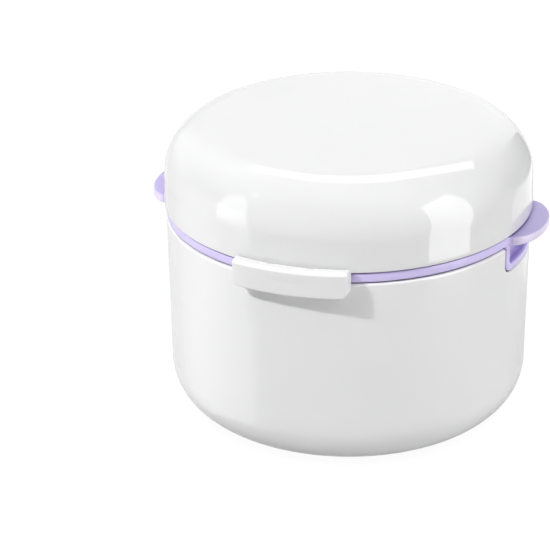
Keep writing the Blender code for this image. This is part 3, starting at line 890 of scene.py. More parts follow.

# %% [markdown]
# ## Painted light and shade at the edges
#
# The glow of light through thin plastic edges is painted into the colour: the band, the ears'
# sides and the aprons' borders are painted a shade paler than the basket's broad faces, and
# the aprons' recesses get painted shade a shade deeper. The latch's ledge, its rounded front
# edge and the cup's rim get painted highlights, lifted to match the photograph's tones. All
# of these are masks of height and of distance from the axis. Real subsurface scattering might
# show some of this by itself, at a far higher cost.

# %% Paint light and shade at the edges
EDGE_BAND = 0.15 * MM


def ramp_between(tree, value, low, high):
    """0 below the first height and 1 above the second; in reverse if the first is higher."""
    rising = high > low
    ramp = add_node(
        tree,
        "ShaderNodeMapRange",
        interpolation_type="SMOOTHSTEP",
        From_Min=min(low, high),
        From_Max=max(low, high),
        To_Min=0.0 if rising else 1.0,
        To_Max=1.0 if rising else 0.0,
    )
    link(tree, value, ramp.inputs["Value"])
    return ramp.outputs["Result"]


def height_and_radius(tree):
    """A point's height and its distance from the case's axis."""
    where = add_node(tree, "ShaderNodeTexCoord")
    parts = add_node(tree, "ShaderNodeSeparateXYZ")
    flat = add_node(tree, "ShaderNodeVectorMath", operation="MULTIPLY")
    flat.inputs[1].default_value = (1.0, 1.0, 0.0)
    radius = add_node(tree, "ShaderNodeVectorMath", operation="LENGTH")
    link_all(
        tree,
        [
            (where, "Object", parts, "Vector"),
            (where, "Object", flat, 0),
            (flat, "Vector", radius, 0),
        ],
    )
    return parts.outputs["Z"], radius.outputs["Value"]


def paint_edge_light_and_shade(material, colour, height_from, height_to, radius_from):
    """Mixes in a colour, as painted light and shade, from one height to another, outside a radius."""
    tree = material.node_tree
    height, radius = height_and_radius(tree)
    high = ramp_between(tree, height, height_from, height_to)
    wide = ramp_between(tree, radius, radius_from, radius_from + EDGE_BAND)
    tint(tree, tree.nodes["Principled BSDF"], colour, math_node(tree, "MULTIPLY", high, wide))


# Material, colour, and in millimetres the two heights and the radius where it starts
PAINTED_EDGE_LIGHT_AND_SHADE = (
    # Painted shade: the aprons, darker below the flange, which stays in their recesses
    (lavender, (0.46, 0.39, 0.75), 51.0, 50.8, 42.7),
    # Painted glow: the band, the ears' sides and the aprons' borders
    (lavender, (0.70, 0.62, 0.97), 53.22, 53.0, 44.2),
    # Painted glow, paler still on the ears' sides
    (lavender, (0.86, 0.77, 1.0), 53.22, 53.0, 46.0),
    # Painted highlight: the latch's ledge
    (latch_white, (0.90, 0.90, 0.90), 54.8, 55.05, 40.0),
    # Painted highlight: the latch's rounded front edge
    (latch_white, (1.0, 1.0, 1.0), 54.35, 54.5, 48.4),
    # Painted highlight: the cup's rim
    (cup_white, (0.97, 0.97, 0.97), 49.9, 50.1, 43.5),
)
# Rows with darker colours paint shade, rows with paler colours paint light
for material, colour, *places in PAINTED_EDGE_LIGHT_AND_SHADE:
    paint_edge_light_and_shade(material, colour, *[place * MM for place in places])
print("materials with paler edges:", lavender.name, latch_white.name, cup_white.name)

# %% Paint shade in the hollows
# The colours of the painted shade in narrow gaps and recesses
WHITE_GAP_SHADE = (0.30, 0.28, 0.36)
LAVENDER_GAP_SHADE = (0.34, 0.28, 0.50)
for material in (lid_white, cup_white):
    paint_shade_in_hollows(material, WHITE_GAP_SHADE, 1.0 * MM, 0.1, 0.45)
paint_shade_in_hollows(lavender, LAVENDER_GAP_SHADE, 3.0 * MM, 0.1, 0.75)
print("materials with hollows:", lid_white.name, cup_white.name, lavender.name)

# %% [markdown]
# ## Drawn wire
#
# The two pins are cut from drawn wire. The die leaves fine lines along the wire, so a noise that
# is stretched along X gives both the roughness and a slight bump.

# %% Make the wire
WIRE_GREY = 0.60
WIRE_LINES = (60.0, 9000.0, 9000.0)
WIRE_POLISH = (0.22, 0.42)

wire, tree, shader, _ = new_material("drawn_wire")
shader.inputs["Metallic"].default_value = 1.0
where = add_node(tree, "ShaderNodeTexCoord")
stretch = add_node(tree, "ShaderNodeMapping", Scale=WIRE_LINES)
lines = add_node(tree, "ShaderNodeTexNoise", Scale=1.0)
polish = add_node(tree, "ShaderNodeMapRange", To_Min=WIRE_POLISH[0], To_Max=WIRE_POLISH[1])
greys = add_node(
    tree,
    "ShaderNodeMix",
    data_type="RGBA",
    A=(WIRE_GREY * 0.9, WIRE_GREY * 0.9, WIRE_GREY * 0.92, 1),
    B=(WIRE_GREY, WIRE_GREY, WIRE_GREY * 1.03, 1),
)
bump = add_node(tree, "ShaderNodeBump", Distance=1.0 * MICRON)
link_all(
    tree,
    [
        (where, "Object", stretch, "Vector"),
        (stretch, "Vector", lines, "Vector"),
        (lines, "Fac", polish, "Value"),
        (lines, "Fac", greys, "Factor"),
        (lines, "Fac", bump, "Height"),
        (polish, "Result", shader, "Roughness"),
        (greys, "Result", shader, "Base Color"),
        (bump, "Normal", shader, "Normal"),
    ],
)
print("drawn wire nodes:", len(tree.nodes))

# %% [markdown]
# ## Lid
#
# The lid is one deep glossy moulding: a very low dome, a generous round shoulder and a wall that
# leans in by a hair. It is a turned shape, so the turning tree makes it from one profile. Fine
# rows in the shoulder matter most, because that is where the window reflections bend.

# %% Turn the lid's shell
LID_BOTTOM = 53.55 * MM
LID_TOP = 74.75 * MM
LID_RADIUS = 45.45 * MM
LID_WALL = 1.6 * MM
LID_DRAFT = 0.2 * MM
LID_CORNER = 12.7 * MM
CROWN_SLOPE = 4.3
LID_EDGE = 0.3 * MM
LID_STEPS = 288


def dome(radius, top, corner, dome_steps, corner_steps):
    """A low dome that runs into a round shoulder, from the axis outwards and down."""
    centre_radius = radius - LID_DRAFT - corner
    slope = math.radians(CROWN_SLOPE)
    edge_radius = centre_radius + corner * math.sin(slope)
    rise = edge_radius * math.tan(slope) / 2
    centre_height = top - rise - corner * math.cos(slope)
    points = []
    for share in np.linspace(0, 1, dome_steps + 1)[:-1]:
        points.append((edge_radius * share, top - rise * share**2))
    return points + arc((centre_radius, centre_height), corner, 90 - CROWN_SLOPE, 0, corner_steps)


def lid_profile():
    """The lid's outside, its edge and its inside as one profile."""
    outer = dome(LID_RADIUS, LID_TOP, LID_CORNER, 22, 36)
    inner = dome(LID_RADIUS - LID_WALL, LID_TOP - LID_WALL, LID_CORNER - LID_WALL, 12, 20)
    low = LID_BOTTOM + LID_EDGE
    outer_edge = arc((LID_RADIUS - LID_EDGE, low), LID_EDGE, 0, -90, 4)
    inner_edge = arc((LID_RADIUS - LID_WALL + LID_EDGE, low), LID_EDGE, -90, -180, 4)
    wall = line(outer[-1], outer_edge[0], 8)[1:]
    inner_wall = line(inner_edge[-1], inner[-1], 4)[1:]
    return outer + wall + outer_edge + inner_edge + inner_wall + inner[::-1]


lid_shell = turned("lid_shell", lid_profile(), LID_STEPS, lid_white)
print("lid shell faces:", len(lid_shell.polygons))

# %% [markdown]
# ## The lid's hinge plate and latch lugs
#
# At the back a plate drops from the lid's wall to a round knuckle that turns on a steel pin. At
# the front two small lugs reach under the latch and carry its pin. They are blocks with soft
# edges whose roots end inside the lid's wall.

# %% Make the lid's fittings
SEAM_GAP = 0.3 * MM
HINGE_Y = 47.575 * MM
HINGE_Z = 51.5 * MM
KNUCKLE_RADIUS = 1.825 * MM
KNUCKLE_WIDTH = 24.0 * MM
KNUCKLE_ROOT = 4.2 * MM
LATCH_TOP = 55.1 * MM
LATCH_REAR = 45.75 * MM
LATCH_BACK_ROUND = 1.2 * MM
LATCH_PIN_Y = -(LATCH_REAR + LATCH_BACK_ROUND)
LATCH_PIN_Z = LATCH_TOP - LATCH_BACK_ROUND
LATCH_LUG_RADIUS = 0.8 * MM
LATCH_LUG_WIDTH = 1.8 * MM
LATCH_LUG_OFFSET = 4.8 * MM
LUG_WEB_RISE = 0.35 * MM
LUG_EDGE = 0.1 * MM

wall_middle = LID_RADIUS - LID_WALL / 2
plate_low = LID_BOTTOM + SEAM_GAP / 2
plate_outline = [(wall_middle, plate_low + KNUCKLE_ROOT), (wall_middle, plate_low)]
plate_outline.append((HINGE_Y - KNUCKLE_RADIUS, plate_low))
plate_outline += arc((HINGE_Y, HINGE_Z), KNUCKLE_RADIUS, 180, 400, 28)
plate_outline.append((LID_RADIUS, plate_low + KNUCKLE_ROOT))
hinge_plate = block("hinge_plate", plate_outline, -KNUCKLE_WIDTH / 2, KNUCKLE_WIDTH / 2)

web_start = math.degrees(math.asin(LUG_WEB_RISE / LATCH_LUG_RADIUS))
lug_outline = [(-wall_middle, LATCH_PIN_Z + LUG_WEB_RISE)]
lug_outline += arc((LATCH_PIN_Y, LATCH_PIN_Z), LATCH_LUG_RADIUS, web_start, 345, 22)
lug_outline.append((-wall_middle, lug_outline[-1][1]))
lid_lugs = []
for middle in (-LATCH_LUG_OFFSET, LATCH_LUG_OFFSET):
    low, high = middle - LATCH_LUG_WIDTH / 2, middle + LATCH_LUG_WIDTH / 2
    lid_lugs.append(block("latch_lug", lug_outline, low, high, LUG_EDGE))
piece("lid_dome", [lid_shell, hinge_plate] + lid_lugs, lid_white, "lid", "lid")

# %% [markdown]
# ## Cup
#
# The cup is a plain round beaker, but its rim dips into a U at each side, where the basket's
# aprons sit. A Boolean cut would leave ragged faces and a sharp edge there. So the rim is drawn
# as one path that runs round the cup and down into both notches, and every column of the wall
# hangs from a point of that path. The edge of the wall is then rounded along the whole path.

# %% Draw the rim's path
CUP_RADIUS = 45.0 * MM
CUP_HEIGHT = 50.6 * MM
CUP_WALL = 1.8 * MM
CUP_FOOT_RADIUS = 44.5 * MM
CUP_CORNER = 11.8 * MM
CUP_FLOOR = 2.2 * MM
RIM_ROUND = 0.6 * MM
INNER_ROUND = 0.45 * MM
NOTCH_HALF = 12.6 * MM
NOTCH_BOTTOM = 43.55 * MM
NOTCH_CORNER = 2.5 * MM
NOTCH_FILLET = 1.0 * MM
NOTCH_ZONE = 20.0 * MM
NOTCH_TRUE = 16.0 * MM
EVEN_HEIGHT = 30.0 * MM
RIM_SPACING = 1.5


def notch_path():
    """Half of the U from its middle to the rim, mirrored to the whole: (across, up)."""
    corner = (NOTCH_HALF - NOTCH_CORNER, NOTCH_BOTTOM + NOTCH_CORNER)
    fillet = (NOTCH_HALF + NOTCH_FILLET, CUP_HEIGHT - NOTCH_FILLET)
    half = line((0.0, NOTCH_BOTTOM), (corner[0], NOTCH_BOTTOM), 9)
    half += arc(corner, NOTCH_CORNER, -90, 0, 10)[:-1]
    half += line((NOTCH_HALF, corner[1]), (NOTCH_HALF, fillet[1]), 5)
    half += arc(fillet, NOTCH_FILLET, 180, 90, 7)[:-1]
    half += line((fillet[0], CUP_HEIGHT), (NOTCH_ZONE, CUP_HEIGHT), 6)
    half.append((NOTCH_ZONE, CUP_HEIGHT))
    return both_sides(half)


def lengths_along(path):
    """How far along an open path each of its points lies."""
    steps = np.linalg.norm(np.diff(path, axis=0), axis=1)
    return np.concatenate([[0.0], np.cumsum(steps)])


path = notch_path()
normals = left_of(np.gradient(path, axis=0))
travel = lengths_along(path)
zone_turn = math.asin(NOTCH_ZONE / CUP_RADIUS)
even_turn = (travel / travel[-1] * 2 - 1) * zone_turn
print("notch path points:", len(path), "length, mm:", round(travel[-1] / MM, 1))

# %% Hang the cup's wall from the path


def wall_radius(heights):
    """The outer wall leans out by half a millimetre on its way up."""
    top = CUP_HEIGHT - RIM_ROUND
    share = (np.asarray(heights) - CUP_CORNER) / (top - CUP_CORNER)
    return CUP_FOOT_RADIUS + (CUP_RADIUS - CUP_FOOT_RADIUS) * np.clip(share, 0, 1)


def wall_points(across, up, depth):
    """Turn and radius of path points sunk by a depth; the notch's faces stay square to X."""
    radius = wall_radius(up)
    shallow = np.arcsin(across / radius)
    deep = np.arcsin(across / (radius - depth))
    true = np.clip((NOTCH_ZONE - np.abs(across)) / (NOTCH_ZONE - NOTCH_TRUE), 0, 1)
    return shallow + (deep - shallow) * true, radius - depth


def full_ring(turns, radii, heights):
    """A ring from one notch's zone: that zone, the plain rim beside it, and both once more."""
    count = round(math.degrees(math.pi - 2 * zone_turn) / RIM_SPACING)
    plain = np.linspace(zone_turn, math.pi - zone_turn, count + 1)[1:-1]
    turns = np.concatenate([turns, plain])
    radii = np.concatenate([radii, np.full(len(plain), radii[-1])])
    heights = np.concatenate([heights, np.full(len(plain), heights[-1])])
    half = np.stack([radii * np.cos(turns), radii * np.sin(turns), heights], axis=1)
    return np.concatenate([half, half * (-1, -1, 1)])


def edge_ring(inset, depth):
    """A ring beside the path, inset along the wall and sunk into it."""
    across, up = (path - normals * inset).T
    turns, radii = wall_points(across, up, depth)
    return turns, radii, up


def even_ring(radius, height):
    """A level round ring whose columns stand evenly in the notch's zone."""
    size = len(path)
    return full_ring(even_turn, np.full(size, radius), np.full(size, height))


def fan(inset, depth, shares):
    """Rings from beside the path to the level where the columns stand evenly."""
    turns, _, up = edge_ring(inset, depth)
    rings = []
    for share in shares:
        heights = up + (EVEN_HEIGHT - up) * share
        radii = wall_radius(heights) - depth
        rings.append(full_ring(turns + (even_turn - turns) * share, radii, heights))
    return rings


EDGE_ROWS = 6
EDGE_TURNS = np.radians(np.linspace(0, 90, EDGE_ROWS))
# Two shares of a rounded edge's radius, row by row: the first falls to 0, the second rises to 1
EDGE_ARC = [(1 - math.sin(turn), 1 - math.cos(turn)) for turn in EDGE_TURNS]
FAN_CROWDING = 1.6
FAN_SHARES = np.linspace(1, 0, 13) ** FAN_CROWDING

foot_centre = CUP_FOOT_RADIUS - CUP_CORNER
cup_rings = [even_ring(radius, 0.0) for radius in (foot_centre / 3, foot_centre * 2 / 3)]
for radius, height in arc((foot_centre, CUP_CORNER), CUP_CORNER, -90, 0, 18):
    cup_rings.append(even_ring(radius, height))
for height in np.linspace(CUP_CORNER, EVEN_HEIGHT, 5)[1:-1]:
    cup_rings.append(even_ring(wall_radius(height), height))
cup_rings += fan(RIM_ROUND, 0.0, FAN_SHARES[:-1])
for falling, rising in EDGE_ARC:
    cup_rings.append(full_ring(*edge_ring(RIM_ROUND * falling, RIM_ROUND * rising)))
for falling, rising in EDGE_ARC:
    depth = CUP_WALL - INNER_ROUND * falling
    cup_rings.append(full_ring(*edge_ring(INNER_ROUND * rising, depth)))
cup_rings += fan(INNER_ROUND, CUP_WALL, FAN_SHARES[::-1][1:])
inner_corner = CUP_CORNER - CUP_WALL
for radius, height in arc((foot_centre, CUP_FLOOR + inner_corner), inner_corner, 0, -90, 12):
    cup_rings.append(even_ring(radius, height))
cup_rings.append(even_ring(foot_centre / 2, CUP_FLOOR))
cup_shell = skin("cup_shell", cup_rings)
print("cup rings:", len(cup_rings), "columns:", len(cup_rings[0]))

# %% Add the cup's hinge lugs and catch rib
LUG_WIDTH = 2.7 * MM
LUG_ROOT = 8.5 * MM
HINGE_SIDE_GAP = 0.3 * MM
SNAP_HALF = 6.0 * MM
RIB_REACH = 0.8 * MM
RIB_HEIGHT = 0.4 * MM
RIB_DROP = 0.65 * MM

cup_middle = CUP_RADIUS - CUP_WALL / 2
lug_top = CUP_HEIGHT - RIM_ROUND
lug_low = HINGE_Z - LUG_ROOT - KNUCKLE_RADIUS
cup_lug_outline = [(HINGE_Y - KNUCKLE_RADIUS, lug_top), (cup_middle, lug_top), (cup_middle, lug_low)]
cup_lug_outline.append((CUP_RADIUS, lug_low))
cup_lug_outline += arc((HINGE_Y, HINGE_Z), KNUCKLE_RADIUS, -35, 180, 28)
cup_lugs = []
for side in (-1, 1):
    inner_face = KNUCKLE_WIDTH / 2 + HINGE_SIDE_GAP
    faces = sorted((side * inner_face, side * (inner_face + LUG_WIDTH)))
    cup_lugs.append(block("cup_lug", cup_lug_outline, *faces))

rib_top = CUP_HEIGHT - RIB_DROP
rib_tip = CUP_RADIUS + RIB_REACH
rib_section = [(cup_middle, rib_top - RIB_HEIGHT), (rib_tip, rib_top - RIB_HEIGHT)]
rib_section += [(rib_tip, rib_top - RIB_HEIGHT / 2), (rib_tip - RIB_HEIGHT / 2, rib_top)]
rib_section.append((cup_middle, rib_top))
rib_turn = math.degrees(math.asin(SNAP_HALF / CUP_RADIUS))
catch_rib = swept_bar("catch_rib", rib_section, 270 - rib_turn, 270 + rib_turn, 16)
cup_meshes = [cup_shell, catch_rib] + cup_lugs
piece("cup_beaker", cup_meshes, cup_white, "cup", "cup_body")

# %% [markdown]
# ## Basket
#
# The basket is a tapered bowl with a lip that reaches up inside the lid, a flange that rests on
# the cup's rim, and two ears. Bowl and flange are one skin of rings. The flange's outline swells
# out into the ears, so its columns fan out from a round ring to that outline, as the cup's do.
# Where an ear leaves the rim, a small round fillet takes the place of a sharp inner corner.

# %% Draw the flange's outline
FLANGE_BOTTOM = CUP_HEIGHT + SEAM_GAP
FLANGE_TOP = 53.25 * MM
FLANGE_MIDDLE = (FLANGE_BOTTOM + FLANGE_TOP) / 2
EAR_REACH = 5.2 * MM
EAR_TURN = math.radians(15)
EAR_FILLET = 1.6 * MM
EAR_ZONE = math.radians(22)
HALVINGS = 60


def ear_fillet():
    """Where a round of the fillet's size touches both the ear and the rim, unrolled flat."""
    half = EAR_TURN * CUP_RADIUS
    low, high = 0.0, math.pi / 4
    for _ in range(HALVINGS):
        swing = (low + high) / 2
        across = EAR_REACH * math.cos(swing)
        out = half * math.sin(swing)
        rise = EAR_REACH * math.sin(swing) + EAR_FILLET * out / math.hypot(across, out)
        low, high = (low, swing) if rise > EAR_FILLET else (swing, high)
    lean = math.atan2(out, across)
    centre = half * math.cos(swing) + EAR_FILLET * math.cos(lean)
    return swing, lean, centre


def ear_outline():
    """Half of an ear from its tip to the plain rim, unrolled: (along the rim, out of it)."""
    half = EAR_TURN * CUP_RADIUS
    swing, lean, centre = ear_fillet()
    points = []
    for turn in np.linspace(math.pi / 2, swing, 26)[:-1]:
        points.append((half * math.cos(turn), EAR_REACH * math.sin(turn)))
    points += arc((centre, EAR_FILLET), EAR_FILLET, 180 + math.degrees(lean), 270, 10)[:-1]
    zone_end = EAR_ZONE * CUP_RADIUS
    points += line((centre, 0.0), (zone_end, 0.0), 4)
    points.append((zone_end, 0.0))
    return both_sides(points)


ear = ear_outline()
ear_turns = ear[:, 0] / CUP_RADIUS
ear_radii = CUP_RADIUS + ear[:, 1]
plain_count = round(math.degrees(math.pi - 2 * EAR_ZONE) / RIM_SPACING)
plain_turns = np.linspace(EAR_ZONE, math.pi - EAR_ZONE, plain_count + 1)[1:-1]
half_turns = np.concatenate([ear_turns, plain_turns])
half_radii = np.concatenate([ear_radii, np.full(len(plain_turns), CUP_RADIUS)])
half_line = np.stack([half_radii * np.cos(half_turns), half_radii * np.sin(half_turns)], axis=1)
flange_line = np.concatenate([half_line, -half_line])
flange_out = -left_of(closed_run(flange_line))
ear_travel = lengths_along(ear)
ear_even = (ear_travel / ear_travel[-1] * 2 - 1) * EAR_ZONE
half_even = np.concatenate([ear_even, plain_turns])
even_turns = np.concatenate([half_even, half_even + math.pi])
ear_share = np.concatenate([ear[:, 1] / EAR_REACH, np.zeros(len(plain_turns))])
ear_share = np.concatenate([ear_share, ear_share])
reach = round(flange_line[:, 0].max() / MM, 2)
print("flange outline points:", len(flange_line), "reach, mm:", reach)

# %% Make the bowl and flange
BASKET_RADIUS = 42.6 * MM
BASKET_WALL = 1.5 * MM
BASKET_TAPER = 4.0 * MM
BASKET_BOTTOM = 7.25 * MM
BASKET_FLOOR = 1.6 * MM
BASKET_CORNER = 8.4 * MM
LIP_RADIUS = 43.15 * MM
LIP_TOP = 56.05 * MM
LIP_THICKNESS = 1.6 * MM
LIP_ROUND = 0.5 * MM
JOIN_ROUND = 0.4 * MM
BAND_TOP_ROUND = 0.4 * MM
BAND_LOW_ROUND = 0.5 * MM
EAR_TOP_ROUND = 0.6 * MM
EAR_LOW_ROUND = 0.8 * MM
THIRDS = (0.33, 0.66)


def round_ring(radius, height):
    """A level round ring with the flange's columns."""
    size = len(even_turns)
    return np.stack(
        [radius * np.cos(even_turns), radius * np.sin(even_turns), np.full(size, height)], axis=1
    )


def round_rings(points):
    """Round rings at (radius, height) points."""
    return [round_ring(*point) for point in points]


def flange_ring(inset, height):
    """The outline drawn in by an inset; inset and height may differ for each column."""
    flat = flange_line - flange_out * np.reshape(inset, (-1, 1))
    heights = np.broadcast_to(np.reshape(height, (-1, 1)), (len(flat), 1))
    return np.hstack([flat, heights])


def between(first, last, shares):
    """Rings at shares of the way from one ring to another."""
    return [first + (last - first) * share for share in shares]


low_round = BAND_LOW_ROUND + (EAR_LOW_ROUND - BAND_LOW_ROUND) * ear_share
top_round = BAND_TOP_ROUND + (EAR_TOP_ROUND - BAND_TOP_ROUND) * ear_share
foot_radius = BASKET_RADIUS - BASKET_TAPER
bowl_centre = foot_radius - BASKET_CORNER
corner_height = BASKET_BOTTOM + BASKET_CORNER
lean = BASKET_TAPER / (FLANGE_MIDDLE - corner_height)
neck = foot_radius + lean * (FLANGE_BOTTOM - corner_height)

rings = [round_ring(bowl_centre * share, BASKET_BOTTOM) for share in (0.2, 0.4, 0.6, 0.8)]
rings += round_rings(arc((bowl_centre, corner_height), BASKET_CORNER, -90, 0, 16))
for share in np.linspace(0, 1, 12)[1:-1]:
    height = corner_height + (FLANGE_BOTTOM - JOIN_ROUND - corner_height) * share
    rings.append(round_ring(foot_radius + lean * (height - corner_height), height))
join_centre = (neck + JOIN_ROUND, FLANGE_BOTTOM - JOIN_ROUND)
rings += round_rings(arc(join_centre, JOIN_ROUND, 180, 90, 4))
under = flange_ring(low_round, FLANGE_BOTTOM)
rings += between(rings[-1], under, THIRDS)
for falling, rising in EDGE_ARC:
    rings.append(flange_ring(low_round * falling, FLANGE_BOTTOM + low_round * rising))
for falling, rising in EDGE_ARC:
    rings.append(flange_ring(top_round * rising, FLANGE_TOP - top_round * falling))
lip_join = round_ring(LIP_RADIUS + JOIN_ROUND, FLANGE_TOP)
rings += between(rings[-1], lip_join, THIRDS)
join_centre = (LIP_RADIUS + JOIN_ROUND, FLANGE_TOP + JOIN_ROUND)
rings += round_rings(arc(join_centre, JOIN_ROUND, 270, 180, 4))
lip_inner = LIP_RADIUS - LIP_THICKNESS
lip_edge = LIP_TOP - LIP_ROUND
rings += round_rings(arc((LIP_RADIUS - LIP_ROUND, lip_edge), LIP_ROUND, 0, 90, 5))
rings += round_rings(arc((lip_inner + LIP_ROUND, lip_edge), LIP_ROUND, 90, 180, 5))
rings.append(round_ring(BASKET_RADIUS - BASKET_WALL, FLANGE_MIDDLE))
inner_corner = BASKET_CORNER - BASKET_WALL
floor_top = BASKET_BOTTOM + BASKET_FLOOR
inner_foot = (foot_radius - BASKET_WALL, floor_top + inner_corner)
inner_top = (BASKET_RADIUS - BASKET_WALL, FLANGE_MIDDLE)
rings += round_rings(line(inner_top, inner_foot, 10)[1:])
rings += round_rings(arc((bowl_centre, inner_foot[1]), inner_corner, 0, -90, 14))
rings += [round_ring(bowl_centre * share, floor_top) for share in (0.8, 0.6, 0.4, 0.2)]
bowl = skin("bowl", rings)
print("bowl rings:", len(rings), "columns:", len(rings[0]))

# %% [markdown]
# ## Drain slots
#
# Twelve petal-shaped slots let the water out of the basket's floor. They repeat round a ring, so
# a small tree places one cutter twelve times, and one Boolean takes them all out of the floor.
# The cutter flares a little at both ends, which leaves a soft edge round each slot.

# %% Cut the drain slots
SLOT_COUNT = 12
SLOT_OUTER_END = 26.6 * MM
SLOT_INNER_END = 9.0 * MM
SLOT_OUTER_HALF = 2.25 * MM
SLOT_INNER_HALF = 1.0 * MM
SLOT_FLARE = 0.35 * MM

repeat_tree, repeat_inputs = new_tree("repeat_round", ["Count"])
start = add_node(repeat_tree, "NodeGroupInput")
points = add_node(repeat_tree, "GeometryNodePoints")
copies = add_node(repeat_tree, "GeometryNodeInstanceOnPoints")
index = add_node(repeat_tree, "GeometryNodeInputIndex")
turn_vector = add_node(repeat_tree, "ShaderNodeCombineXYZ")
share = math_node(repeat_tree, "DIVIDE", index.outputs[0], start.outputs["Count"])
turn = math_node(repeat_tree, "MULTIPLY", share, FULL_TURN)
link(repeat_tree, turn, turn_vector.inputs["Z"])
link_all(
    repeat_tree,
    [
        (start, "Count", points, "Count"),
        (points, 0, copies, "Points"),
        (start, "Mesh", copies, "Instance"),
        (turn_vector, 0, copies, "Rotation"),
    ],
)
finish_tree(repeat_tree, copies.outputs["Instances"], start)


def slot_ring(grow, height):
    """The petal's outline along +X, grown by the flare, anticlockwise from above."""
    wide = SLOT_OUTER_HALF + grow
    slim = SLOT_INNER_HALF + grow
    outer = SLOT_OUTER_END - SLOT_OUTER_HALF
    inner = SLOT_INNER_END + SLOT_INNER_HALF
    tilt = math.degrees(math.asin((wide - slim) / (outer - inner)))
    flat = arc((outer, 0.0), wide, -90 - tilt, 90 + tilt, 15)
    flat += arc((inner, 0.0), slim, 90 + tilt, 270 - tilt, 9)
    return [(x, y, height) for x, y in flat]


slot_rings = [
    slot_ring(SLOT_FLARE * 2, BASKET_BOTTOM - SLOT_FLARE),
    slot_ring(0.0, BASKET_BOTTOM + SLOT_FLARE),
    slot_ring(0.0, floor_top - SLOT_FLARE),
    slot_ring(SLOT_FLARE * 2, floor_top + SLOT_FLARE),
]
slot = skin("slot", slot_rings)
cutter_mesh = run_tree(
    "slots", repeat_tree, repeat_inputs, slot, Count=SLOT_COUNT, Material=lavender
)
bowl = combine("bowl", bowl, [("DIFFERENCE", cutter_mesh)])
print("bowl faces after the cut:", len(bowl.polygons))

# %% [markdown]
# ## Aprons
#
# Under each ear hangs a shallow tray that fills the cup's notch, with a border flush with the
# cup and a recess for a fingertip. Its outline and the recess's outline have the same number of
# points, so rings between them give the border and its rounded edges, and rings that shrink
# towards the middle close the recess with the curve of the cup.

# %% Make the aprons
APRON_HALF = 12.3 * MM
APRON_BOTTOM = 43.85 * MM
APRON_CORNER = 2.2 * MM
APRON_TOP = 52.0 * MM
APRON_FACE = 44.95 * MM
APRON_BACK = 41.85 * MM
APRON_BORDER = 1.6 * MM
RECESS_FACE = 43.0 * MM
APRON_EDGE = 0.3 * MM
APRON_FLARE = NOTCH_FILLET + SEAM_GAP
LEAST_FLARE = 0.001 * MM
TOWARDS_MIDDLE = (0.75, 0.5, 0.25)


def apron_outline(half, bottom, corner, flare):
    """From the bottom's middle up to the top's middle and back down the other side."""
    points = line((0.0, bottom), (half - corner, bottom), 8)
    points += arc((half - corner, bottom + corner), corner, -90, 0, 9)[:-1]
    side_end = FLANGE_BOTTOM - APRON_FLARE
    points += line((half, bottom + corner), (half, side_end), 5)
    points += arc((half + flare, side_end), max(flare, LEAST_FLARE), 180, 90, 6)[:-1]
    points += line((half + flare, FLANGE_BOTTOM), (half + flare, APRON_TOP), 2)
    points += line((half + flare, APRON_TOP), (0.0, APRON_TOP), 8)
    points.append((0.0, APRON_TOP))
    return closed_by_mirror(points)


def apron_ring(flat, radius):
    """An outline laid on an upright cylinder round the case's axis, seen from +X."""
    across, up = flat.T
    return np.stack([np.sqrt(radius**2 - across**2), across, up], axis=1)


def inwards(outline, inset):
    """The outline with every point moved in along its normal."""
    return outline + left_of(closed_run(outline)) * inset


outer = apron_outline(APRON_HALF, APRON_BOTTOM, APRON_CORNER, APRON_FLARE)
recess = apron_outline(
    APRON_HALF - APRON_BORDER, APRON_BOTTOM + APRON_BORDER, APRON_CORNER - APRON_BORDER / 2, 0.0
)
middle = np.array([0.0, (APRON_BOTTOM + APRON_BORDER + APRON_TOP) / 2])
apron_rings = [apron_ring(middle + (outer - middle) * share, APRON_BACK) for share in (0.5, 1.0)]
for falling, rising in EDGE_ARC:
    depth = APRON_FACE - APRON_EDGE * falling
    apron_rings.append(apron_ring(inwards(outer, APRON_EDGE * rising), depth))
for falling, rising in EDGE_ARC:
    depth = APRON_FACE - APRON_EDGE * rising
    apron_rings.append(apron_ring(inwards(recess, -APRON_EDGE * falling), depth))
for falling, rising in EDGE_ARC:
    depth = RECESS_FACE + APRON_EDGE * falling
    apron_rings.append(apron_ring(inwards(recess, APRON_EDGE * rising), depth))
for share in TOWARDS_MIDDLE:
    apron_rings.append(apron_ring(middle + (recess - middle) * share, RECESS_FACE))
apron_rings = np.array(apron_rings)
aprons = [skin("apron", apron_rings), skin("apron", apron_rings * (-1, -1, 1))]
piece("strainer_basket", [bowl] + aprons, lavender, "cup", "basket")

# %% [markdown]
# ## Latch
#
# The latch is a curved flap with a flat ledge on top and an end wall at each side, hollow
# behind. Its outer skin is drawn as rings that start in the middle of the face, spread to the
# rounded outline, turn over the edge and run back to the case. Each ring is laid on a cylinder
# round the case's axis, deeper ring by ring, so the face follows the case's curve.

# %% Draw the latch's outer skin
LATCH_HALF = 13.9 * MM
LATCH_BOTTOM = 48.7 * MM
LATCH_FRONT = 49.4 * MM
LATCH_DEPTH = LATCH_FRONT - LATCH_REAR
FOOT_CORNER = 1.3 * MM
TOP_CORNER = 0.5 * MM
BACK_FADE = 2.4 * MM
TOP_EDGE = 0.8 * MM
SIDE_EDGE = 0.4 * MM
LOW_EDGE = 0.35 * MM


def latch_outline(half, bottom, top, foot, shoulder):
    """Anticlockwise from the top's middle, as seen from behind: (across, up)."""
    points = line((0.0, top), (half - shoulder, top), 16)
    points += arc((half - shoulder, top - shoulder), shoulder, 90, 0, 5)[:-1]
    points += line((half, top - shoulder), (half, bottom + foot), 8)
    points += arc((half - foot, bottom + foot), foot, 0, -90, 9)[:-1]
    points += line((half - foot, bottom), (0.0, bottom), 15)
    points.append((0.0, bottom))
    return closed_by_mirror(points)


def laid(flat, radius):
    """Flat points laid on the front of an upright cylinder round the case's axis."""
    across, up = flat.T
    return np.stack([across, -np.sqrt(radius**2 - across**2), up], axis=1)


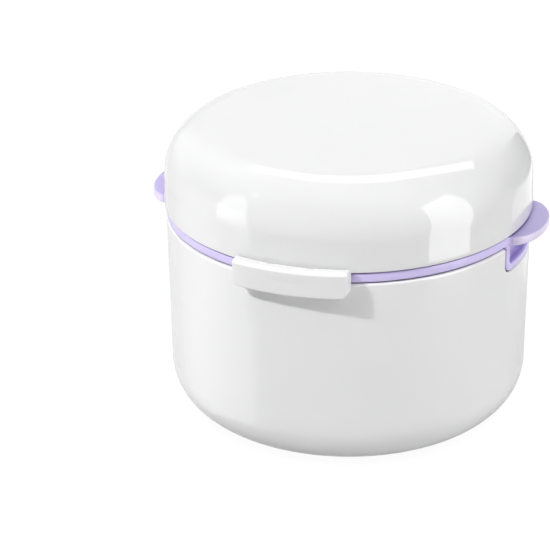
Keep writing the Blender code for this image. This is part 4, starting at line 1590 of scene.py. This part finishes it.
def latch_ring(flat, depth):
    """The outline sunk into the latch; its top rounds down about the pin at the back."""
    past = np.clip(depth - (LATCH_DEPTH - LATCH_BACK_ROUND), 0, LATCH_BACK_ROUND)
    drop = LATCH_BACK_ROUND - np.sqrt(LATCH_BACK_ROUND**2 - past**2)
    reach = (flat[:, 1] - (LATCH_TOP - BACK_FADE)) / BACK_FADE
    sunk = flat.copy()
    sunk[:, 1] -= drop * np.clip(reach, 0, 1)
    return laid(sunk, LATCH_FRONT - depth)


outer = latch_outline(LATCH_HALF, LATCH_BOTTOM, LATCH_TOP, FOOT_CORNER, TOP_CORNER)
out = left_of(closed_run(outer))
faces_up = np.clip(out[:, 1], 0, 1) ** 2
faces_down = np.clip(-out[:, 1], 0, 1) ** 2
edge_round = SIDE_EDGE + (TOP_EDGE - SIDE_EDGE) * faces_up + (LOW_EDGE - SIDE_EDGE) * faces_down
face_edge = outer - out * edge_round[:, None]
face_middle = np.array([0.0, (LATCH_TOP + LATCH_BOTTOM) / 2])
latch_rings = []
for share in TOWARDS_MIDDLE[::-1]:
    latch_rings.append(latch_ring(face_middle + (face_edge - face_middle) * share, 0.0))
for falling, rising in EDGE_ARC:
    inset = edge_round[:, None] * falling
    latch_rings.append(latch_ring(outer - out * inset, edge_round * rising))
back_start = LATCH_DEPTH - LATCH_BACK_ROUND
for depth in np.linspace(SIDE_EDGE, back_start, 5)[1:-1]:
    latch_rings.append(latch_ring(outer, depth))
for turn in np.radians(np.linspace(0, 90, 9)):
    latch_rings.append(latch_ring(outer, back_start + LATCH_BACK_ROUND * math.sin(turn)))
for share in TOWARDS_MIDDLE:
    latch_rings.append(latch_ring(face_middle + (outer - face_middle) * share, LATCH_DEPTH))
latch_skin = skin("latch_skin", latch_rings)
print("latch rings:", len(latch_rings), "points each:", len(outer))

# %% [markdown]
# ## The latch's hollow, knuckle and hook
#
# From behind, the latch is hollowed to a plate, and a knuckle along its top takes the pin. A slot
# for each of the lid's lugs passes under a thin roof, so the ledge stays whole as seen from
# above. A hook low in the middle snaps under the cup's rib. These are plain cuts and joins of
# small hidden shapes, which Booleans make quickly.

# %% Hollow the latch and add its knuckle and hook
LATCH_PLATE = 1.5 * MM
LATCH_LEDGE = 1.5 * MM
LATCH_END_WALL = 1.0 * MM
LATCH_KNUCKLE_RADIUS = 1.1 * MM
LATCH_KNUCKLE_HALF = 9.3 * MM
LATCH_LUG_GAP = 0.15 * MM
ROOF_REACH = 0.2 * MM
HOOK_GAP = 0.3 * MM
HOOK_FOOT = 0.1 * MM
# An odd number, so that no corner of the hook meets the middle column of the latch
HOOK_STEPS = 15
LATCH_PIN_RADIUS = 0.4 * MM
LATCH_PIN_HALF = 8.0 * MM
PIN_GAP = 0.08 * MM

ledge_under = LATCH_TOP - LATCH_LEDGE
pocket_outline = latch_outline(
    LATCH_HALF - LATCH_END_WALL, LATCH_BOTTOM - LATCH_PLATE, ledge_under, TOP_CORNER, TOP_CORNER
)
pocket_radii = np.linspace(LATCH_FRONT - LATCH_PLATE, LATCH_REAR - LATCH_PLATE, 4)
pocket = skin("pocket", [laid(pocket_outline, radius) for radius in pocket_radii])

pin_place = (LATCH_PIN_Y, LATCH_PIN_Z)
circle = arc(pin_place, LATCH_KNUCKLE_RADIUS, 0, 360, 32)[:-1]
knuckle = prism("knuckle", circle, (-LATCH_KNUCKLE_HALF, LATCH_KNUCKLE_HALF))
rib_bottom = rib_top - RIB_HEIGHT
hook_root = LATCH_FRONT - LATCH_PLATE / 2
hook_low = LATCH_BOTTOM + HOOK_FOOT
hook_section = [(rib_tip + HOOK_GAP, hook_low), (hook_root, hook_low)]
hook_section += [(hook_root, rib_bottom - HOOK_GAP), (rib_tip + HOOK_GAP, rib_bottom - HOOK_GAP)]
hook = swept_bar("hook", hook_section, 270 - rib_turn, 270 + rib_turn, HOOK_STEPS)

slot_round = LATCH_LUG_RADIUS + LATCH_LUG_GAP
slot_front = LATCH_PIN_Y - LATCH_KNUCKLE_RADIUS - LATCH_LUG_GAP
slot_low = LATCH_PIN_Z - LATCH_KNUCKLE_RADIUS - LATCH_LUG_GAP
shelf = ledge_under + LATCH_LUG_GAP
shelf_turn = 180 - math.degrees(math.asin((shelf - LATCH_PIN_Z) / slot_round))
roof_turn = math.degrees(math.acos(ROOF_REACH / slot_round))
slot_outline = arc(pin_place, slot_round, roof_turn, shelf_turn, 12)
slot_outline += [(slot_front, shelf), (slot_front, slot_low), (-CUP_RADIUS / 2, slot_low)]
slot_outline += [(-CUP_RADIUS / 2, LID_TOP), (LATCH_PIN_Y + ROOF_REACH, LID_TOP)]
cuts = [("DIFFERENCE", pocket), ("UNION", knuckle), ("UNION", hook)]
for middle in (-LATCH_LUG_OFFSET, LATCH_LUG_OFFSET):
    half = LATCH_LUG_WIDTH / 2 + LATCH_LUG_GAP
    cuts.append(("DIFFERENCE", prism("lug_slot", slot_outline, (middle - half, middle + half))))
bore_circle = arc(pin_place, LATCH_PIN_RADIUS + PIN_GAP, 0, 360, 24)[:-1]
bore_half = LATCH_PIN_HALF + PIN_GAP
cuts.append(("DIFFERENCE", prism("bore", bore_circle, (-bore_half, bore_half))))
latch_body = combine("latch_body", latch_skin, cuts)
piece("latch_flap", [latch_body], latch_white, "latch", "front_latch")

# %% [markdown]
# ## Pins
#
# Both hinges turn on short steel pins with broken edges. The turning tree makes each upright,
# and its points are then swung to lie along X, on the hinge's axis.

# %% Turn the pins
HINGE_PIN_RADIUS = 0.8 * MM
HINGE_PIN_HALF = 14.7 * MM
PIN_CHAMFER = 0.15 * MM
PIN_STEPS = 32


def pin(name, radius, half, place, body, node):
    """A pin with broken edges along X, at a (y, z) place."""
    edge = radius - PIN_CHAMFER
    profile = [(0.0, half), (edge, half), (radius, half - PIN_CHAMFER)]
    profile += [(r, -h) for r, h in profile[::-1]]
    mesh = turned(name, profile, PIN_STEPS, wire)
    swing = Matrix.Rotation(math.radians(90), 4, "Y")
    mesh.transform(Matrix.Translation((0.0, *place)) @ swing)
    piece(name, [mesh], wire, body, node)


pin("hinge_rod", HINGE_PIN_RADIUS, HINGE_PIN_HALF, (HINGE_Y, HINGE_Z), "cup", "hinge_pin")
pin("latch_rod", LATCH_PIN_RADIUS, LATCH_PIN_HALF, pin_place, "lid", "latch_pin")
